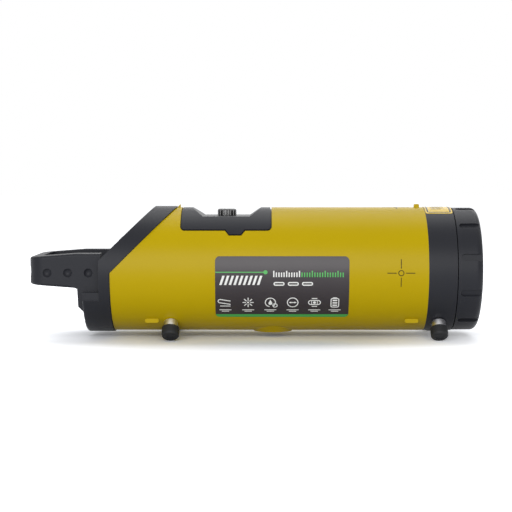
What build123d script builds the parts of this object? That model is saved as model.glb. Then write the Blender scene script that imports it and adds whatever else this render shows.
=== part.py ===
"""Pipe laser: a tubular grade laser with a rear carrying handle, a slanted key panel and screw-in feet."""
from build123d import *
import os
from math import cos, pi, radians, sin, sqrt, tan

os.makedirs("parts", exist_ok=True)

# Driving dimensions, in millimetres and degrees. While it is drawn, the part has X along the tube's axis
# towards the beam, Z up, and its zero where the lower half of the tube ends. The near side is at -Y.

# Tube
TUBE_OD = 122.4
TUBE_WALL = 5.0
TUBE_LENGTH = 305.0
FACE_ANGLE = 45.0            # slope of the tube's rear cut and of the key panel
BAR_LENGTH = 13.4            # small raised bars low on both sides, with upright outer faces
BAR_WIDTH = 4.1
BAR_DROP = 47.9              # below the tube's axis
BAR_PROUD = 0.8              # where its top edge leaves the tube
BAR_REAR_X = 38.5
BAR_FRONT_X = 290.6
SIGHT_LENGTH = 5.0           # sighting lugs along the top
SIGHT_WIDTH = 4.0
SIGHT_HEIGHT = 3.2
SIGHT_REAR_X = 62.0
SIGHT_FRONT_X = 299.0

# Base boss with the tripod thread
BOSS_X = 156.4
BOSS_FLAT_D = 38.0
BOSS_FOOT_D = 56.0           # where its sloping side meets the tube
BOSS_DROP = 0.7              # how far the boss stands below the tube
BOSS_INNER_D = 35.6
BOSS_RISE = 15.0             # how far it reaches in from the tube's surface
INSERT_OD = 22.0
INSERT_LENGTH = 15.0
THREAD_D = 13.5              # bore left by a 5/8 inch, 11 threads per inch thread
THREAD_DEPTH = 13.0

# Rear housing
REAR_PROUD = 1.3             # how far it stands outside the tube
REAR_DEPTH = 27.4            # along X, from the tube's cut to the rear face
SLANT_DEPTH = 22.6           # along X, from the tube's slanted cut to the slanted face
REAR_EDGE_R = 2.5
REAR_WALL = 3.0
SPIGOT_LENGTH = 8.0
SPIGOT_WALL = 2.0
SPIGOT_GAP = 0.2
GASKET_T = 0.8
GASKET_INSET = 0.6
SHOULDER_X = 10.85           # the housing is full width only this far behind the tube
FLANK_TOP_Z = -19.5
FLANK_TOP_SIDE = 24.5        # from the housing's widest part in to the upper flat
FLANK_STEP_Z = -27.5
FLANK_STEP_SIDE = 8.5        # and in to the lower flat
HOUSING_SCREW_ANGLES = (-90.0, -52.0, -128.0, 35.0, 145.0)
HOUSING_SCREW_D = 3.0
HOUSING_SCREW_HEAD_D = 5.6
HOUSING_SCREW_HEAD = 3.0
HOUSING_SCREW_SEAT = 13.0    # head seat, behind the tube's cut
HOUSING_SCREW_BITE = 10.0
HEAD_GAP = 0.2
SOCKET_SHARE = 0.5           # of a screw head's radius and height

# Handle
HANDLE_REACH = 53.15         # behind the housing's rear face
HANDLE_CHEEK = 7.0           # how far its arms stand outside the housing's upper flats
HANDLE_OPENING = 60.0
HANDLE_END_BAR = 12.0
HANDLE_END_TOP_Z = 14.0
HANDLE_END_BOTTOM_Z = -12.6
HANDLE_TOP_Z = 17.5
HANDLE_BOTTOM_Z = -16.0
HANDLE_TAPER_X = 8.0         # behind the housing's rear face, where the bars reach full height
HANDLE_CORNER_R = 14.0
HANDLE_TOP_R = 2.5
BASE_T = 6.7
BASE_TAPER = 1.6             # how much thinner the base is at its foot
BASE_TOP_Z = -5.0            # between the arms
BASE_BOTTOM_Z = -39.0
BASE_SLOPE = 5.0
DIMPLE_Z = -1.2
DIMPLE_D = 8.6
DIMPLE_DEPTH = 2.2
DIMPLE_PITCH = 19.9
DIMPLE_FIRST = 18.2         # from the handle's end to the first dimple
HANDLE_SCREW_Y = 28.0
HANDLE_SCREW_Z = (-11.0, -28.0)
HANDLE_SCREW_D = 5.0
HANDLE_SCREW_HEAD_D = 8.5
HANDLE_SCREW_HEAD = 3.5
HANDLE_SCREW_SKIN = 1.0      # left between a screw's end and the base's face
END_GROOVE_R = 15.0
END_GROOVE_DEPTH = 1.4

# Key panel on the slanted face
PANEL_DROP = 25.2            # from the top of the tube to the height of the panel's middle
PANEL_SIDE = 28.5            # from the panel's edge to the widest part of the housing
PANEL_HEIGHT = 46.0
PANEL_CORNER_R = 5.0
PANEL_T = 1.2
SCREEN_WIDTH = 40.0
SCREEN_HEIGHT = 17.0
SCREEN_RISE = 8.5            # above the panel's middle, along the slope
SCREEN_LEDGE = 2.0
SCREEN_CORNER_R = 1.5
OPENING_CORNER_R = 1.0
DISPLAY_MARGIN = 3.0
KEY_WIDTH = 11.0
KEY_HEIGHT = 6.5
KEY_CORNER_R = 1.8
KEY_PITCH_X = 14.0
KEY_PITCH_Y = 10.0
KEY_TOP_ROW = -8.0
KEY_PROUD = 1.3
KEY_FLANGE = 1.0
KEY_FLANGE_MARGIN = 1.0
KEY_CHAMFER = 0.6
KEY_TRAVEL = 0.8
KEY_GAP = 0.35
SWITCH_R = 2.4
SWITCH_T = 0.6
STEM_R = 2.0
STEM_GAP = 0.2               # left above the switch when a key is down
BOARD_T = 1.6
BOARD_DROP = 9.0             # panel face to the key board's top
STANDOFF_R = 2.5
STANDOFFS = ((-28.0, 3.0), (28.0, 3.0), (-12.0, -25.5), (12.0, -25.5))
BOARD_CLEAR = 0.6            # from the key board's corners to the housing's inside
BOARD_TOP = 20.0
BOARD_BOTTOM = -29.0
SEAT_GAP = 0.3               # between faces of pieces that move apart

# Battery cover on top of the tube
SADDLE_BEHIND = 6.45         # from the top of the tube's slanted cut to the cover
SADDLE_LENGTH = 86.0
SADDLE_DROP = 20.2           # from the top of the tube to the cover's lower edge
SADDLE_T = 3.2
SADDLE_GAP = 1.3             # gap all round, with the cover's sealing lip at the bottom of it
SADDLE_LIP = 1.0
SADDLE_LIP_T = 1.4
SADDLE_CORNER_R = 3.0
TAB_X = 8.85                 # ahead of the cover's middle
TAB_WIDTH = 18.2
TAB_TIP_WIDTH = 11.0
TAB_DEPTH = 4.5
VALLEY_DEPTH = 8.2
VALLEY_FLOOR = 45.6
VALLEY_MOUTH = 68.3
VALLEY_SKIN = 2.5

# Battery pack, its tray and the thumb screw
TRAY_LENGTH = 75.0
TRAY_WIDTH = 58.6
TRAY_WALL = 2.3
TRAY_FLANGE = 4.0            # flange beyond the tray, fore and aft
TRAY_FLANGE_SIDE = 3.0
TRAY_FLANGE_T = 2.0
TRAY_POST_R = 3.0
PACK_HEIGHT = 42.2
PACK_GAP = 0.6
PACK_WALL = 1.5
CELL_D = 18.3
CELL_LENGTH = 65.0
CELL_Y = 14.6
CELL_PITCH = 18.4
CONTACT_SIZE = 8.0
CONTACT_T = 0.9
KNOB_D = 18.8
KNOB_HEIGHT = 6.5
KNOB_DOME = 2.0
KNOB_FLUTES = 16
KNOB_FLUTE_R = 1.0
SCREW_D = 5.0
SLEEVE_D = 9.0
INSERT_D = 9.0
NUT_INSERT_LENGTH = 9.0
INSERT_COVER = 3.0           # tray material round the insert
INSERT_FLOOR = 1.5           # tray material under the insert
INSERT_BASE = 1.0
SCREW_END_GAP = 1.5
THREAD_CUT = 0.3             # how far a thread's core lies inside its crests
THREAD_RUN = 12.0            # threaded end of the thumb screw
MAIN_BOARD_LENGTH = 62.0
MAIN_BOARD_WIDTH = 52.0
MAIN_BOARD_DROP = 12.5
POST_INSET = 5.0             # from the board's edge to its posts
CHIPS = ((-14, 0, 14, 1.6), (8, 10, 9, 1.2), (12, -12, 7, 3.5), (24, 4, 6, 2.5))  # x, y, size, height

# Feet
LEG_REAR_X = 56.75
LEG_FRONT_X = 317.2
LEG_ANGLE = 37.0             # each side of straight down
LEG_D = 13.8
LEG_CHAMFER = 0.8
LEG_EXPOSED = 8.0
LEG_STUD_D = 8.0
LEG_STUD_LENGTH = 8.5
LEG_BOSS_D = 18.0
LEG_BOSS_COVER = 3.0         # boss beyond the stud's end
LEG_BORE_GAP = 0.05
CROSS_HOLE_D = 3.2
CROSS_HOLE_TURN = 40.0       # about the foot's own axis
TIP_D = 17.0
TIP_LENGTH = 10.2
TIP_EDGE_R = 3.0
TIP_DISH_D = 8.0
TIP_DISH = 0.6

# Front collar, cap and window
COLLAR_PROUD = 0.1           # how far it stands outside the tube
COLLAR_LENGTH = 27.3
COLLAR_WALL = 11.0
COLLAR_SPIGOT = 14.0
LIP_WALL = 5.3               # step from the collar's outside down to its lip
CAP_INSET = 0.4              # how far the cap lies inside the tube's outline
CAP_LENGTH = 24.3
CAP_GAP = 1.0                # seam between collar and cap
CAP_RIM_R = 6.5
CAP_WALL = 12.8
CAP_GROOVES = 11
CAP_GROOVE_WIDTH = 7.0
CAP_GROOVE_DEPTH = 2.2
CAP_GROOVE_START = 2.6
CAP_GROOVE_FIRST = 79.6      # first groove, in degrees up from the near side
GLASS_LAP = 3.0              # glass beyond the cap's bore
GLASS_T = 4.0
GLASS_SETBACK = 9.0          # from the cap's rim to the glass
RING_T = 3.2
RING_LAP = 1.0               # window ring inside the cap's bore

# Label, plate and cross mark
LABEL_X = 164.8
LABEL_LENGTH = 128.2
LABEL_TOP_ANGLE = 15.0
LABEL_BOTTOM_ANGLE = -45.6
LABEL_CORNER_R = 4.0
LABEL_T = 0.3
PLATE_ANGLE = 24.5           # each side of the top
PLATE_INSET = 0.5

# Beam gimbal: line turns about Z and grade about Y, both through the cross mark
GIMBAL_X = 278.4
GRADE_UP = 21.8
BARREL_D = 30.0
BARREL_BORE = 24.0
BARREL_REAR = 60.0
BARREL_FRONT = 45.0
PIN_D = 6.0
PIN_GAP = 0.05
LINE_PIN_PROUD = 0.3
LINE_PIN_SKIN = 1.0          # ring left over the end of a line pin
GRADE_PIN_PROUD = 1.0
BUSH_D = 10.0
YOKE_INNER = 20.0            # half the space between the yoke's side plates
YOKE_PLATE = 3.0
YOKE_HALF_HEIGHT = 12.0
YOKE_BRIDGE_Z = 24.0
YOKE_FRONT = 12.0
YOKE_REAR = 92.0
BRIDGE_INSET = 2.0
GRADE_ARM = 76.0
LEAD_SCREW_D = 5.0
SHELF_HALF_WIDTH = 12.0
SHELF_TOP_Z = 20.0
SHELF_BOTTOM_Z = -41.0
SHELF_REACH = 23.0
NUT_WIDTH = 10.0
NUT_HEIGHT = 8.0
NUT_CROWN = 1.0
DRIVE_PIN_D = 4.0
DRIVE_PIN_PROUD = 1.0
MOTOR_GAP = 0.2              # between a lead screw's end and its motor
FORK_PLATE = 3.0
FORK_HALF_HEIGHT = 6.0
FORK_END = 87.0
FORK_OUTER = 9.0
SENSOR_X = 10.0              # from the barrel's rear end
SENSOR_LENGTH = 26.0
SENSOR_WIDTH = 9.0
SENSOR_Z = 14.2
SENSOR_VIAL_D = 6.0
SENSOR_BASE = 2.0
VIAL_SINK = 0.5
MODULE_LENGTH = 32.0
LENS_T = 4.0
LENS_SETBACK = 2.0
GRADE_SLOT_GAP = 0.95        # the fork's slot takes up the arc of the swing
LINE_ARM = 108.0
LINE_SCREW_Z = -13.0
LINE_SLOT_GAP = 0.4
LINE_SLOT_REACH = 1.8        # slot length each way beyond the pin
LINE_CHEEK_DROP = 9.0
LINE_CHEEK_RISE = 8.5
TONGUE_WIDTH = 12.0
TONGUE_T = 4.0
TONGUE_END = 116.0
MOTOR_D = 20.0
LINE_MOTOR_GAP = 1.5         # between the line motor and the side rail
GRADE_MOTOR_LENGTH = 24.0
CHEEK_Y = 22.0               # line screw's end brackets
CHEEK_T = 3.0
RING_HALF_LENGTH = 9.0
RING_WALL = 6.0
ARM_WIDTH = 14.0
BULKHEAD_X = 154.0
BULKHEAD_T = 4.0
BULKHEAD_RISE = 4.2          # bulkhead's flat above the base boss
CABLE_HOLE_R = 7.0
RAIL_CLEAR = 3.2             # from the rail to the tube's bore
RAIL_WIDTH = 7.0
RAIL_HEIGHT = 16.0

# Sizes that follow from the ones above
TUBE_R = TUBE_OD / 2
BORE_R = TUBE_R - TUBE_WALL
REAR_R = TUBE_R + REAR_PROUD
COLLAR_R = TUBE_R + COLLAR_PROUD
CAP_R = TUBE_R - CAP_INSET
CAP_BORE_R = CAP_R - CAP_WALL
GLASS_R = CAP_BORE_R + GLASS_LAP
RISE = tan(radians(90 - FACE_ANGLE))      # X gained for each millimetre up the slanted cut
HOUSING_X = -REAR_DEPTH
HANDLE_X = HOUSING_X - HANDLE_REACH
FLANK_TOP_Y = REAR_R - FLANK_TOP_SIDE
FLANK_STEP_Y = REAR_R - FLANK_STEP_SIDE
HANDLE_HALF_WIDTH = FLANK_TOP_Y + HANDLE_CHEEK
HANDLE_BAR = HANDLE_HALF_WIDTH - HANDLE_OPENING / 2
COLLAR_X = TUBE_LENGTH
CAP_X = COLLAR_X + COLLAR_LENGTH + CAP_GAP
FRONT_X = CAP_X + CAP_LENGTH
LEG_TIP_R = TUBE_R + LEG_EXPOSED + TIP_LENGTH
AXIS_HEIGHT = ((LEG_TIP_R - TIP_EDGE_R) * cos(radians(LEG_ANGLE))
               + (TIP_D / 2 - TIP_EDGE_R) * sin(radians(LEG_ANGLE)) + TIP_EDGE_R)
MIDDLE_X = (HANDLE_X + FRONT_X) / 2
SADDLE_X = TUBE_R * RISE + SADDLE_BEHIND + SADDLE_LENGTH / 2
SADDLE_R = TUBE_R - SADDLE_T
LEDGE_R = SADDLE_R - SEAT_GAP
CAVITY_R = BORE_R - SPIGOT_GAP - SPIGOT_WALL
PANEL_Z = TUBE_R - PANEL_DROP
PANEL_WIDTH = 2 * (REAR_R - PANEL_SIDE)
BOARD_EDGE_Z = PANEL_Z + (BOARD_TOP - BOARD_DROP * RISE) / sqrt(1 + RISE ** 2)
BOARD_WIDTH = 2 * sqrt((CAVITY_R - BOARD_CLEAR) ** 2 - BOARD_EDGE_Z ** 2)
SADDLE_EDGE_Z = TUBE_R - SADDLE_DROP
VALLEY_Z = TUBE_R - VALLEY_DEPTH
TRAY_FLOOR_Z = VALLEY_Z - VALLEY_SKIN - PACK_HEIGHT - PACK_GAP - CONTACT_T - TRAY_WALL
BASE_Z = -TUBE_R - BOSS_DROP
BULKHEAD_CUT_Z = BOSS_RISE - TUBE_R + BULKHEAD_RISE
RAIL_Y = BORE_R - RAIL_CLEAR - RAIL_WIDTH
LINE_MOTOR_LENGTH = RAIL_Y - LINE_MOTOR_GAP - CHEEK_Y - CHEEK_T
NOSE_R = TIP_D / 3                        # nose of a foot inside its rubber tip
FAR = 2 * TUBE_OD                         # reaches past the tube, for cutting
OVER = 1.0                                # how far a cutter passes the face that it cuts


def block(x0, x1, y0, y1, z0, z1):
    """Return a box from its two corners."""
    return Pos((x0 + x1) / 2, (y0 + y1) / 2, (z0 + z1) / 2) * Box(abs(x1 - x0), abs(y1 - y0), abs(z1 - z0))


def along_x(radius, x0, x1, y=0, z=0):
    """Return a cylinder along X."""
    return Pos((x0 + x1) / 2, y, z) * Rot(0, 90, 0) * Cylinder(radius, abs(x1 - x0))


def along_y(radius, y0, y1, x, z):
    """Return a cylinder along Y."""
    return Pos(x, (y0 + y1) / 2, z) * Rot(90, 0, 0) * Cylinder(radius, abs(y1 - y0))


def along_z(radius, z0, z1, x, y):
    """Return an upright cylinder."""
    return Pos(x, y, (z0 + z1) / 2) * Cylinder(radius, abs(z1 - z0))


def ring_x(outer, inner, x0, x1):
    """Return a ring about the tube's axis."""
    return along_x(outer, x0, x1) - along_x(inner, x0 - OVER, x1 + OVER)


def side_profile(points, half_width=FAR):
    """Return a prism across the part from points given as (x, z)."""
    return extrude(Plane.XZ * Polygon(*points, align=None), amount=half_width, both=True)


def slanted_band(rear, front, flat=None):
    """Return what lies between two copies of the tube's slanted cut, each moved along X.

    With a flat, the rear one starts at that X instead, and only its slope stays where it was.
    """
    low_x = rear if flat is None else flat
    turn_z = (low_x - rear) / RISE
    return side_profile([(low_x, -FAR), (front, -FAR), (front, 0), (front + FAR * RISE, FAR),
                         (rear + FAR * RISE, FAR), (low_x, turn_z)])


def write(node, *solids):
    """Centre a piece on the part, lift it onto the floor and write its file."""
    place = Pos(-MIDDLE_X, 0, AXIS_HEIGHT)
    shape = place * solids[0] if len(solids) == 1 else Compound(children=[place * s for s in solids])
    export_step(shape, f"parts/{node}.step")


# Rear housing, its gasket, screws and handle

panel_plane = Plane(origin=(PANEL_Z * RISE - SLANT_DEPTH, 0, PANEL_Z), x_dir=(0, -1, 0),
                    z_dir=(-1, 0, RISE))


def housing_outside():
    """Return the rear housing's outer form, with the flats that carry the handle."""
    body = along_x(REAR_R, HOUSING_X, FAR)
    body = fillet(body.edges().group_by(Axis.X)[0], REAR_EDGE_R)
    body &= slanted_band(HOUSING_X, -GASKET_T) & slanted_band(-SLANT_DEPTH, FAR, HOUSING_X)
    for side in (-1, 1):
        body -= block(HOUSING_X - OVER, -SHOULDER_X, side * FLANK_STEP_Y, side * FAR, FLANK_STEP_Z, FAR)
        body -= block(HOUSING_X - OVER, -SHOULDER_X, side * FLANK_TOP_Y, side * FAR, FLANK_TOP_Z, FAR)
    return body


def screw_spots():
    """Return the housing screws' places as (y, z, x of the tube's cut there)."""
    radius = (TUBE_R + BORE_R) / 2
    spots = []
    for angle in HOUSING_SCREW_ANGLES:
        y, z = radius * cos(radians(angle)), radius * sin(radians(angle))
        spots.append((y, z, max(0, z * RISE)))
    return spots


def cavity():
    """Return the hollow inside the rear housing."""
    slant = REAR_WALL * sqrt(1 + RISE ** 2)
    floor_x = HOUSING_X + REAR_WALL
    corner_z = (floor_x + SLANT_DEPTH - slant) / RISE
    hollow = side_profile([(floor_x, -FAR), (FAR, -FAR), (FAR, FAR),
                           (slant - SLANT_DEPTH + FAR * RISE, FAR), (floor_x, corner_z)])
    hollow &= along_x(CAVITY_R, HOUSING_X, FAR)
    for side in (-1, 1):
        hollow -= block(HOUSING_X, REAR_WALL - SHOULDER_X, side * (FLANK_TOP_Y - REAR_WALL), side * FAR,
                        FLANK_STEP_Z - REAR_WALL, FAR)
    return hollow


def on_panel(shape, x=0, y=0, z=0):
    """Place a shape on the slanted face: x to the user's right, y up the slope, z outwards."""
    return panel_plane * Pos(x, y, z) * shape


def pad(width, height, corner, z0, z1):
    """Return a rounded plate between two levels."""
    return Pos(0, 0, z0) * extrude(RectangleRounded(width, height, corner), amount=z1 - z0)


key_spots = [((column - 1.5) * KEY_PITCH_X, KEY_TOP_ROW - row * KEY_PITCH_Y)
             for row in range(2) for column in range(4)]
handle_screw_spots = [(side * HANDLE_SCREW_Y, z) for side in (-1, 1) for z in HANDLE_SCREW_Z]
key_names = ["power", "menu", "up", "enter", "lamp", "left", "down", "right"]


def key_holes(z0, z1):
    """Return the cutters for the keys' holes."""
    hole = pad(KEY_WIDTH + 2 * KEY_GAP, KEY_HEIGHT + 2 * KEY_GAP, KEY_CORNER_R + KEY_GAP, z0, z1)
    return [on_panel(hole, x, y) for x, y in key_spots]


def rear_housing():
    """Return the rear housing with its spigot, screw holes and the key panel's seat."""
    outside = housing_outside()
    spigot = slanted_band(-REAR_WALL, SPIGOT_LENGTH) & ring_x(BORE_R - SPIGOT_GAP, CAVITY_R, HOUSING_X, FAR)
    body = outside - cavity() + spigot
    body -= on_panel(pad(PANEL_WIDTH, PANEL_HEIGHT, PANEL_CORNER_R, -PANEL_T, REAR_WALL))
    body -= on_panel(pad(SCREEN_WIDTH - 2 * SCREEN_LEDGE, SCREEN_HEIGHT - 2 * SCREEN_LEDGE,
                         OPENING_CORNER_R, -2 * REAR_WALL, REAR_WALL), 0, SCREEN_RISE)
    body -= key_holes(-2 * REAR_WALL, REAR_WALL)
    for x, y in STANDOFFS:
        body += on_panel(Pos(0, 0, -BOARD_DROP) * Cylinder(STANDOFF_R, BOARD_DROP - REAR_WALL / 2,
                         align=(Align.CENTER, Align.CENTER, Align.MIN)), x, y)
    for y, z, cut_x in screw_spots():
        seat = cut_x - HOUSING_SCREW_SEAT
        body -= along_x(HOUSING_SCREW_HEAD_D / 2 + HEAD_GAP, seat, HOUSING_X - OVER, y, z)
        body -= along_x(HOUSING_SCREW_D / 2, HOUSING_X - OVER, cut_x + OVER, y, z)
    for y, z in handle_screw_spots:
        body -= along_x(HANDLE_SCREW_D / 2, HOUSING_X - OVER, HOUSING_X + REAR_WALL + OVER, y, z)
    return body


def rear_gasket():
    """Return the gasket between the housing and the tube's slanted cut."""
    body = slanted_band(-GASKET_T, 0) & ring_x(TUBE_R - GASKET_INSET, BORE_R, HOUSING_X, FAR)
    for y, z, cut_x in screw_spots():
        body -= along_x(HOUSING_SCREW_D / 2, HOUSING_X, cut_x + HOUSING_SCREW_BITE, y, z)
    return body


def screw(radius, head_radius, head, x_seat, x_end, y, z):
    """Return a socket-head screw along X, with its head behind the seat."""
    turn = 1 if x_end > x_seat else -1
    body = along_x(head_radius, x_seat - turn * head, x_seat, y, z) + along_x(radius, x_seat, x_end, y, z)
    socket = Pos(x_seat - turn * head, y, z) * Rot(0, 90, 0) * extrude(
        RegularPolygon(head_radius * SOCKET_SHARE, 6), amount=head * SOCKET_SHARE, both=True)
    return body - socket


def handle():
    """Return the carrying loop with the base that wraps the housing's flats."""
    y = HANDLE_HALF_WIDTH
    base_x = HOUSING_X - BASE_T
    outline = Pos((HANDLE_X - SHOULDER_X) / 2, 0) * Rectangle(-SHOULDER_X - HANDLE_X, 2 * y)
    outline = fillet(outline.vertices().group_by(Axis.X)[0], HANDLE_CORNER_R)
    inner_x = HANDLE_X + HANDLE_END_BAR
    opening = Pos(inner_x / 2, 0) * Rectangle(-inner_x, HANDLE_OPENING)
    opening = fillet(opening.vertices().group_by(Axis.X)[0], HANDLE_CORNER_R - HANDLE_BAR / 2)
    full_x = HOUSING_X - HANDLE_TAPER_X
    sides = side_profile([(HANDLE_X, HANDLE_END_BOTTOM_Z), (full_x, HANDLE_BOTTOM_Z),
                          (HOUSING_X, FLANK_TOP_Z), (-SHOULDER_X, FLANK_TOP_Z),
                          (-SHOULDER_X, HANDLE_TOP_Z), (full_x, HANDLE_TOP_Z),
                          (HANDLE_X, HANDLE_END_TOP_Z)])
    loop = extrude(outline, amount=FAR, both=True) & sides
    rims = [e for e in loop.edges() if abs(e.center().Z) > -HANDLE_END_BOTTOM_Z - OVER
            and (e.center().X < HANDLE_X + HANDLE_CORNER_R or abs(e.center().Y) > y - OVER)
            and not (e.center().Z < 0 and e.center().X > full_x)]
    loop = fillet(rims, HANDLE_TOP_R)
    loop -= extrude(opening, amount=FAR, both=True)
    foot = side_profile([(base_x, BASE_TOP_Z), (base_x + BASE_TAPER, BASE_BOTTOM_Z + BASE_SLOPE),
                         (HOUSING_X, BASE_BOTTOM_Z), (HOUSING_X, BASE_TOP_Z)], y)
    body = loop + foot - housing_outside()
    dish_r = ((DIMPLE_D / 2) ** 2 + DIMPLE_DEPTH ** 2) / (2 * DIMPLE_DEPTH)
    for side in (-1, 1):
        for count in range(3):
            spot = HANDLE_X + DIMPLE_FIRST + count * DIMPLE_PITCH
            body -= Pos(spot, side * (y - DIMPLE_DEPTH + dish_r), DIMPLE_Z) * Sphere(dish_r)
    body -= along_y(END_GROOVE_R, -FAR, FAR, HANDLE_X - END_GROOVE_R + END_GROOVE_DEPTH, 0)
    for y_screw, z_screw in handle_screw_spots:
        body -= along_x(HANDLE_SCREW_D / 2, base_x + HANDLE_SCREW_SKIN, HOUSING_X + OVER, y_screw, z_screw)
    return body


write("rear_housing", rear_housing())
write("rear_gasket", rear_gasket())
write("housing_screws", *[screw(HOUSING_SCREW_D / 2, HOUSING_SCREW_HEAD_D / 2, HOUSING_SCREW_HEAD,
                                cut_x - HOUSING_SCREW_SEAT, cut_x + HOUSING_SCREW_BITE, y, z)
                          for y, z, cut_x in screw_spots()])
write("handle", handle())
write("handle_screws", *[screw(HANDLE_SCREW_D / 2, HANDLE_SCREW_HEAD_D / 2, HANDLE_SCREW_HEAD,
                               HOUSING_X + REAR_WALL, HOUSING_X - BASE_T + HANDLE_SCREW_SKIN, y, z)
                         for y, z in handle_screw_spots])

# Key panel, display, keys and key board


def control_panel():
    """Return the panel plate with its screen opening and key holes."""
    plate = on_panel(pad(PANEL_WIDTH, PANEL_HEIGHT, PANEL_CORNER_R, -PANEL_T, 0))
    screen = pad(SCREEN_WIDTH, SCREEN_HEIGHT, SCREEN_CORNER_R, -REAR_WALL, REAR_WALL)
    plate -= on_panel(screen, 0, SCREEN_RISE)
    return plate - key_holes(-REAR_WALL, REAR_WALL)


def key(x, y):
    """Return one rubber key: cap, flange behind the wall and the stem over its switch."""
    flange_top = -REAR_WALL - SEAT_GAP
    stem_end = -BOARD_DROP + SWITCH_T + KEY_TRAVEL + STEM_GAP
    cap = pad(KEY_WIDTH, KEY_HEIGHT, KEY_CORNER_R, flange_top, KEY_PROUD)
    cap = chamfer(cap.edges().group_by(Axis.Z)[-1], KEY_CHAMFER)
    flange = pad(KEY_WIDTH + 2 * KEY_FLANGE_MARGIN, KEY_HEIGHT + 2 * KEY_FLANGE_MARGIN, KEY_CORNER_R,
                 flange_top - KEY_FLANGE, flange_top)
    stem = along_z(STEM_R, stem_end, flange_top - KEY_FLANGE, 0, 0)
    return on_panel(cap + flange + stem, x, y)


def key_board():
    """Return the board behind the keys."""
    return on_panel(block(-BOARD_WIDTH / 2, BOARD_WIDTH / 2, BOARD_BOTTOM, BOARD_TOP,
                          -BOARD_DROP - BOARD_T, -BOARD_DROP))


def display():
    """Return the display module between the wall and the key board."""
    width, height = SCREEN_WIDTH + 2 * DISPLAY_MARGIN, SCREEN_HEIGHT + 2 * DISPLAY_MARGIN
    return on_panel(pad(width, height, OPENING_CORNER_R, -BOARD_DROP, -REAR_WALL), 0, SCREEN_RISE)


write("control_panel", control_panel())
write("screen_window", on_panel(pad(SCREEN_WIDTH, SCREEN_HEIGHT, SCREEN_CORNER_R, -PANEL_T, 0),
                                0, SCREEN_RISE))
write("display_module", display())
switch = along_z(SWITCH_R, -BOARD_DROP, -BOARD_DROP + SWITCH_T, 0, 0)
write("key_board", key_board(), *[on_panel(switch, x, y) for x, y in key_spots])
for name, (key_x, key_y) in zip(key_names, key_spots):
    write(f"key_{name}", key(key_x, key_y))


# Main tube


def leg_plane(x, side):
    """Return a plane at the axis whose Z points out along a foot."""
    angle = radians(LEG_ANGLE)
    return Plane(origin=(x, 0, 0), x_dir=(1, 0, 0), z_dir=(0, side * sin(angle), -cos(angle)))


def leg_bore(x, side):
    """Return the cutter for a foot's threaded bore."""
    return leg_plane(x, side) * along_z(LEG_STUD_D / 2 + LEG_BORE_GAP, TUBE_R - LEG_STUD_LENGTH - OVER,
                                        TUBE_R + LEG_EXPOSED, 0, 0)


def saddle_outline(grow=0.0):
    """Return the battery cover's side outline with its locating tab, as a prism across the part."""
    x0, x1 = SADDLE_X - SADDLE_LENGTH / 2 - grow, SADDLE_X + SADDLE_LENGTH / 2 + grow
    edge, tab = SADDLE_EDGE_Z - grow, SADDLE_X + TAB_X
    half, tip = TAB_WIDTH / 2 + grow / 2, TAB_TIP_WIDTH / 2 + grow / 2
    outline = Polygon((x0, FAR), (x0, edge), (tab - half, edge), (tab - tip, edge - TAB_DEPTH),
                      (tab + tip, edge - TAB_DEPTH), (tab + half, edge), (x1, edge), (x1, FAR), align=None)
    corners = [v for v in outline.vertices() if v.Y < FAR / 2 and (v.X < x0 + 0.01 or v.X > x1 - 0.01)]
    outline = fillet(corners, SADDLE_CORNER_R + grow)
    return extrude(Plane.XZ * outline, amount=FAR, both=True)


def main_tube():
    """Return the tube with its battery opening, base boss, foot bosses and small outside bars."""
    body = along_x(TUBE_R, 0, TUBE_LENGTH)
    half_fade = BOSS_FOOT_D / 2
    cone_height = BOSS_DROP + TUBE_R - sqrt(TUBE_R ** 2 - half_fade ** 2)
    body += Pos(BOSS_X, 0, BASE_Z + cone_height / 2) * Cone(BOSS_FLAT_D / 2, half_fade, cone_height)
    bar_face = sqrt(TUBE_R ** 2 - (BAR_DROP - BAR_WIDTH / 2) ** 2) + BAR_PROUD
    for x in (BAR_REAR_X, BAR_FRONT_X):
        bar = Plane.XZ * Pos(x, -BAR_DROP) * SlotOverall(BAR_LENGTH, BAR_WIDTH)
        body += extrude(bar, amount=bar_face, both=True)
    body -= along_x(BORE_R, -OVER, TUBE_LENGTH + OVER)
    for x in (SIGHT_REAR_X, SIGHT_FRONT_X):
        lug = block(x - SIGHT_LENGTH / 2, x + SIGHT_LENGTH / 2, -SIGHT_WIDTH / 2, SIGHT_WIDTH / 2,
                    TUBE_R - OVER, TUBE_R + SIGHT_HEIGHT)
        body += fillet(lug.edges().group_by(Axis.Z)[-1], SIGHT_WIDTH / 4)
    body += along_z(BOSS_INNER_D / 2, BASE_Z, BOSS_RISE - TUBE_R, BOSS_X, 0)
    boss = along_z(LEG_BOSS_D / 2, TUBE_R - LEG_STUD_LENGTH - LEG_BOSS_COVER, TUBE_R - TUBE_WALL / 2, 0, 0)
    for side in (-1, 1):
        body += leg_plane(LEG_REAR_X, side) * boss
        body -= leg_bore(LEG_REAR_X, side)
    body -= along_z(INSERT_OD / 2, BASE_Z - OVER, BASE_Z + INSERT_LENGTH, BOSS_X, 0)
    body -= side_profile([(-FAR, -FAR), (0, -FAR), (0, 0), (FAR * RISE, FAR), (-FAR, FAR)])
    body -= saddle_outline(SADDLE_GAP) - along_x(LEDGE_R, 0, TUBE_LENGTH)
    body -= block(SADDLE_X - TRAY_LENGTH / 2, SADDLE_X + TRAY_LENGTH / 2, -TRAY_WIDTH / 2, TRAY_WIDTH / 2,
                  0, FAR)
    for y, z, cut_x in screw_spots():
        body -= along_x(HOUSING_SCREW_D / 2, cut_x - HOUSING_SCREW_D, cut_x + HOUSING_SCREW_BITE, y, z)
    return body


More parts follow.
